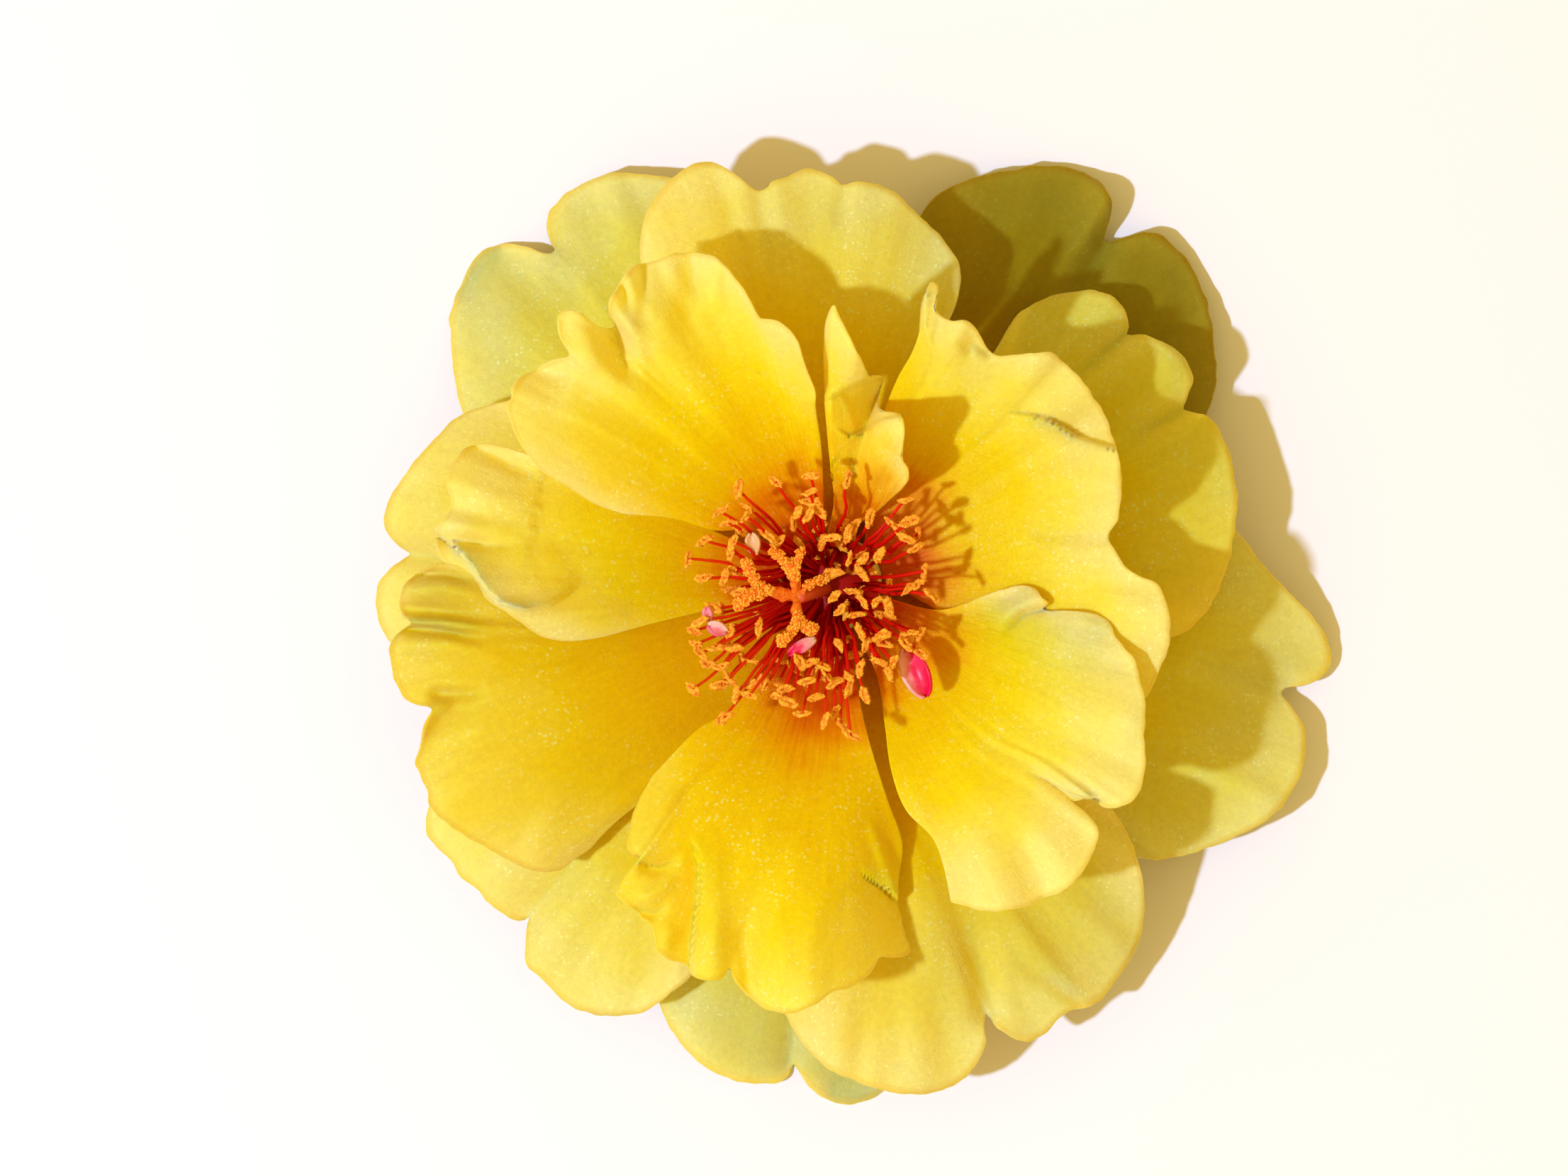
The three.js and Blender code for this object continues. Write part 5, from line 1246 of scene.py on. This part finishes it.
def pollen_finish(name, hollow, ridge):
    """Matt, grainy pollen. hollow and ridge are its darkest and lightest colours."""
    material, add = new_material(name)
    place = add("ShaderNodeTexCoord").outputs["Object"]
    lumps = add("ShaderNodeTexNoise", {"Vector": place, "Scale": 1 / (POLLEN_LUMP * MM), "Detail": 3})
    colour = add("ShaderNodeValToRGB", {"Fac": lumps}, {0.3: hollow, 0.62: ridge})
    bump = add("ShaderNodeBump", {"Strength": 0.7, "Distance": 0.06 * MM, "Height": lumps})
    return finish_material(material, {
        "Base Color": colour, "Normal": bump, "Roughness": 0.75, "Specular IOR Level": 0.25,
        "Subsurface Weight": 0.2, "Subsurface Radius": (1, 0.5, 0.1), "Subsurface Scale": 0.2 * MM,
    })


stalk_tissue = stalk_finish()
anther_wall = pollen_finish("anther_wall", "#d66400", "#ffb62c")
pollen_grain = pollen_finish("pollen_grain", "#f99a0c", "#ffc23c")
stigma_tissue = pollen_finish("stigma_tissue", "#e4500e", "#f2820c")

# %% Grow the tuft
STALK_RADIUS = 0.15 * MM
GRAIN_RADIUS = 0.055 * MM
ANTHER_GRAINS = 16 / MM ** 2
STIGMA_GRAINS = 40 / MM ** 2

tips_mesh = bpy.data.meshes.new("stamen_tips")
tips_mesh.from_pydata(tips, [], [])
tips_mesh.attributes.new("turn", "FLOAT", "POINT").data.foreach_set("value", tip_turns)
stalks = grow("stamen_stalks", tips_mesh, stalk_tree, {
    "Stalk radius": STALK_RADIUS, "Ring inner": 0.8 * MM, "Ring outer": 2.3 * MM, "Root height": 9.4 * MM,
    "Bend": (0.3, 0.3, 0.55), "Wander": 1.6 * MM, "Finish": stalk_tissue, "Seed": SEED,
})
anthers = grow("anthers", tips_mesh, anther_tree, {
    "Anther": anther, "Smallest": 0.95, "Largest": 1.3, "Roll": (1.1, 0.35, 0), "Crumple": 0.55 * MM,
    "Finish": anther_wall, "Seed": SEED,
})
anther_pollen = grow("anther_pollen", anthers.data, pollen_tree, {
    "Grains per square metre": ANTHER_GRAINS, "Grain radius": GRAIN_RADIUS, "Finish": pollen_grain,
    "Seed": SEED,
})
bpy.data.objects.remove(anther)
disc = turned_object("stamen_disc", DISC, 0.05)
disc.data.materials.append(stalk_tissue)

# %% [markdown]
# ## Pistil
# The style comes up through the tuft, leans to one side and splits into seven thick stigma
# lobes, all caked with pollen. Each is a bent tube that swells along its length. The style is
# smooth and moist, which gives it a soft sheen, while the pollen leaves the lobes matt.

# %% Style and stigma lobes, in mm
STYLE = [(-0.4, -0.4, 9.9), (-1, -0.5, 12), (-2.3, -0.9, 13.3)]
LOBES = [  # end, radius and how far the middle bends aside
    (-1.9, 2.1, 14.4, 0.28, 0.5), (-3.8, 2, 14.2, 0.35, -0.9), (-5.5, 1.4, 14.3, 0.32, 1.1),
    (-6.2, -1.6, 14.4, 0.4, -1.1), (-3.5, -3.8, 14.3, 0.32, 1.2), (-1.1, -3, 13.9, 0.36, -1.2),
    (-0.4, 0.3, 12.9, 0.26, 0.6),
]
STYLE_RADIUS = 0.4
STYLE_RINGS = 14
LOBE_RINGS = 18
LOBE_START = 0.2  # depth below the style's tip at which the lobes part
LOBE_ARCH = 0.5  # mm by which a lobe arches up
LOBE_SWELL = (0.75, 0.3)  # share of its radius at a lobe's foot, and what it gains to the tip
LOBE_TIP = 0.6  # the last ring keeps this share of its width, which rounds the tip
STYLE_FLARE = 1.2  # the style widens by this factor towards the lobes
BED_SWELL = 1.02  # lifts the pollen just off the lobes
STIGMA_GRAIN = 1.35  # grains caked on the stigma look larger than those on the anthers
LOBE_WOBBLE = 0.08
TUBE_SIDES = 12
POLLEN_FROM = 6  # the first of a lobe's rings with pollen


def tube(shape, path, radii):
    """Adds to a bmesh a closed tube along points in mm, with a radius at each."""
    rings = []
    for i, (point, radius) in enumerate(zip(path, radii)):
        ahead = path[min(i + 1, len(path) - 1)] - path[max(i - 1, 0)]
        turn = Vector(ahead).to_track_quat("Z", "Y")
        ring = []
        for k in range(TUBE_SIDES):
            roll = 2 * math.pi * k / TUBE_SIDES
            spoke = turn @ Vector((math.cos(roll), math.sin(roll), 0))
            ring.append(shape.verts.new((Vector(point) + spoke * radius) * MM))
        rings.append(ring)
    join_rings(shape, rings)
    shape.faces.new(rings[0][::-1])
    shape.faces.new(rings[-1])


def arc_points(start, middle, end, count):
    """Points along a bend from start to end that is pulled towards middle."""
    t = np.linspace(0, 1, count)[:, None]
    start, middle, end = (np.array(p, float) for p in (start, middle, end))
    return (1 - t) ** 2 * start + 2 * t * (1 - t) * middle + t ** 2 * end


style_shape = bmesh.new()
style_radii = np.linspace(STYLE_RADIUS, STYLE_FLARE * STYLE_RADIUS, STYLE_RINGS)
tube(style_shape, arc_points(*STYLE, STYLE_RINGS), style_radii)
style = bmesh_object("style", style_shape)
lobes_shape = bmesh.new()
bed_shape = bmesh.new()  # only the lobes' outer parts carry pollen
for *end, radius, bend in LOBES:
    start = np.array(STYLE[-1]) - (0, 0, LOBE_START)
    run = np.array(end) - start
    pull = start + run / 2 + (-bend * run[1] / 3, bend * run[0] / 3, 2 * LOBE_ARCH)
    swell = radius * (LOBE_SWELL[0] + LOBE_SWELL[1] * np.linspace(0, 1, LOBE_RINGS))
    swell += [rng.uniform(-LOBE_WOBBLE, LOBE_WOBBLE) for _ in swell]
    swell[-1] *= LOBE_TIP
    spine = arc_points(start, pull, end, LOBE_RINGS)
    spine[2:] += [[rng.uniform(-LOBE_WOBBLE, LOBE_WOBBLE) for _ in "xyz"] for _ in spine[2:]]
    tube(lobes_shape, spine, swell)
    tube(bed_shape, spine[POLLEN_FROM:], BED_SWELL * swell[POLLEN_FROM:])
stigma = bmesh_object("stigma_lobes", lobes_shape)
bed = bmesh_object("stigma_pollen_bed", bed_shape)
pollen_bed = bed.data
bpy.data.objects.remove(bed)
stigma.data.materials.append(stigma_tissue)
stigma_pollen = grow("stigma_pollen", pollen_bed, pollen_tree, {
    "Grains per square metre": STIGMA_GRAINS, "Grain radius": STIGMA_GRAIN * GRAIN_RADIUS,
    "Finish": pollen_grain, "Seed": SEED + 1,
})
style_tissue, _ = new_material("style_tissue")
finish_material(style_tissue, {
    "Base Color": linear("#e0582c"), "Roughness": 0.4, "Subsurface Weight": 0.3,
    "Subsurface Radius": (1, 0.3, 0.2), "Subsurface Scale": 0.3 * MM,
})
style.data.materials.append(style_tissue)

# %% [markdown]
# ## Stalks that turned into petals
# In a double bloom some stamens grow into small blades. A few here are pink and white, curled
# like shells, and stand among the anthers. They are petal tissue too, so they are soft, satin
# and let some light through.

# %% Petaloid blades
PETALOIDS = [  # x, y, direction, half length, half width, height, hue, and its change along and across
    (5.1, -5.6, -66, 1.65, 0.84, 12.4, 0.45, 0.2, 0.3),
    (-1.95, -3.95, -150, 0.95, 0.36, 14, 0.4, 0.4, 0),
    (-7.2, -2.85, 160, 0.6, 0.42, 15.2, 0.25, 0, 0.15),
    (-7.8, -1.95, 100, 0.4, 0.28, 15.3, 0.3, 0.1, 0),
    (-5, 2.45, 100, 0.6, 0.44, 14.2, -0.3, 0.05, 0),
]
SPOT_SIZE = 0.35  # the hottest pink is a spot at the middle, in half widths and lengths
SPOT_HUE = 0.3  # how much hotter it is, for each mm of half width
BLADE_CUP, BLADE_ARCH, BLADE_RISE = 0.6, 0.35, 0.2  # curl across, bend along, rise to the end
BLADE_HALF_THICKNESS = 0.09  # mm
PINK_BLOTCH = 0.625  # mm across a blotch


def petaloid_grid(x, y, direction, half_length, half_width, height, hue, along_hue, across_hue):
    """A small curled blade, its hue from white to hot pink, and its place across."""
    angle = math.radians(direction)
    s, t = np.meshgrid(np.linspace(-1, 1, 30), np.linspace(-1, 1, 24), indexing="ij")
    width = half_width * np.sqrt(np.maximum(1 - np.abs(s) ** 1.8, 0.015))
    along, aside = s * half_length, t * width
    z = height + BLADE_CUP * half_width * t * t - BLADE_ARCH * half_length * s * s + BLADE_RISE * s
    place_x = x + along * math.cos(angle) - aside * math.sin(angle)
    place_y = y + along * math.sin(angle) + aside * math.cos(angle)
    spot = SPOT_HUE * half_width * np.exp(-(s * s + t * t) / SPOT_SIZE ** 2)
    return np.dstack([place_x, place_y, z]), hue + along_hue * s + across_hue * t + spot, t + 1


def petaloid_tissue():
    """White to hot pink petal tissue, with soft blotches."""
    material, add = new_material("petaloid_tissue")
    hue = add("ShaderNodeAttribute", attribute_name="reach").outputs["Fac"]
    place = add("ShaderNodeTexCoord").outputs["Object"]
    blotch = add("ShaderNodeTexNoise", {"Vector": place, "Scale": 1 / (PINK_BLOTCH * MM), "Detail": 2})
    share = add("ShaderNodeMath", {0: blotch, 1: 0.5, 2: hue}, operation="MULTIPLY_ADD")
    colour = add(
        "ShaderNodeValToRGB", {"Fac": share},
        {0.0: "#e2b478", 0.35: "#f5c4b4", 0.55: "#f2949c", 0.75: "#ec3c60", 1.0: "#dc0a40"},
    )
    return finish_material(material, {
        "Base Color": colour, "Roughness": 0.35, "Specular IOR Level": 0.3, "Subsurface Weight": 0.4,
        "Subsurface Radius": (1, 0.3, 0.4), "Subsurface Scale": 0.3 * MM,
    })


petaloid_finish = petaloid_tissue()
petaloids = []
for number, blade in enumerate(PETALOIDS, 1):
    grid, hue, across = petaloid_grid(*blade)
    half = np.full(hue.shape, BLADE_HALF_THICKNESS)
    piece = sheet_object(f"petaloid_{number}", grid, half, {"reach": hue, "across": across})
    piece.data.materials.append(petaloid_finish)
    petaloids.append(piece)

# %% [markdown]
# ## What rides on what
# The bloom has no moving parts, so every piece rides on the one body. Each names the solid
# that it stands for, and that solid is hidden.

# %% Join the pieces to the frame
def belongs(piece, node):
    """Puts a piece on the body, in place of a solid, which is hidden."""
    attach(piece, BODY)
    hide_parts(node)


for petal in PETALS:
    belongs(petals[petal["name"]], petal["name"])
belongs(receptacle, "receptacle")
for piece in (cup, *sepals):
    belongs(piece, "calyx")
for piece in (stalks, anthers, anther_pollen, disc, *petaloids):
    belongs(piece, "stamens")
for piece in (style, stigma, stigma_pollen):
    belongs(piece, "pistil")

# %% [markdown]
# ## Floor and light
# A pale floor under the bloom, a slightly blue key light from the left, a little under sixty
# degrees high, and even warm light from all round. The key is a small disc, which gives the clear
# shadows of sunlight. The view shows colours as they are, with no filmic curve, because that
# would grey the saturated yellows.

# %% Stage
FLOOR_SIZE = 3  # metres
KEY_ELEVATION = 57  # degrees above the floor
KEY_FROM = (-0.94, -0.34)  # the way to it, seen from above
KEY_DISTANCE, KEY_SIZE = 0.9, 0.04  # metres
KEY_POWER = 8.5  # watts
KEY_COLOUR = "#c4d4ff"
SKY_STRENGTH = 0.78
SKY_COLOUR = "#ffdc84"

floor_mesh = bpy.data.meshes.new("floor")
edge = FLOOR_SIZE / 2
floor_corners = [(-edge, -edge, 0), (edge, -edge, 0), (edge, edge, 0), (-edge, edge, 0)]
floor_mesh.from_pydata(floor_corners, [], [(0, 1, 2, 3)])
floor = link_object("floor", floor_mesh)
floor_paper, _ = new_material("floor_paper")
finish_material(floor_paper, {"Base Color": linear("#f4f3f0"), "Roughness": 0.9})
floor_mesh.materials.append(floor_paper)

key_data = bpy.data.lights.new("key", "AREA")
key_data.shape = "DISK"
key_data.size = KEY_SIZE
key_data.energy = KEY_POWER
key_data.color = linear(KEY_COLOUR)[:3]
key = bpy.data.objects.new("key", key_data)
height = math.radians(KEY_ELEVATION)
key_way = Vector((KEY_FROM[0] * math.cos(height), KEY_FROM[1] * math.cos(height), math.sin(height)))
key.location = key_way * KEY_DISTANCE
key.rotation_euler = key_way.to_track_quat("Z", "Y").to_euler()
bpy.context.scene.collection.objects.link(key)

world = bpy.data.worlds.new("studio")
world.use_nodes = True
sky = world.node_tree.nodes["Background"]
sky.inputs["Color"].default_value = linear(SKY_COLOUR)
sky.inputs["Strength"].default_value = SKY_STRENGTH
bpy.context.scene.world = world
bpy.context.scene.view_settings.view_transform = "Standard"
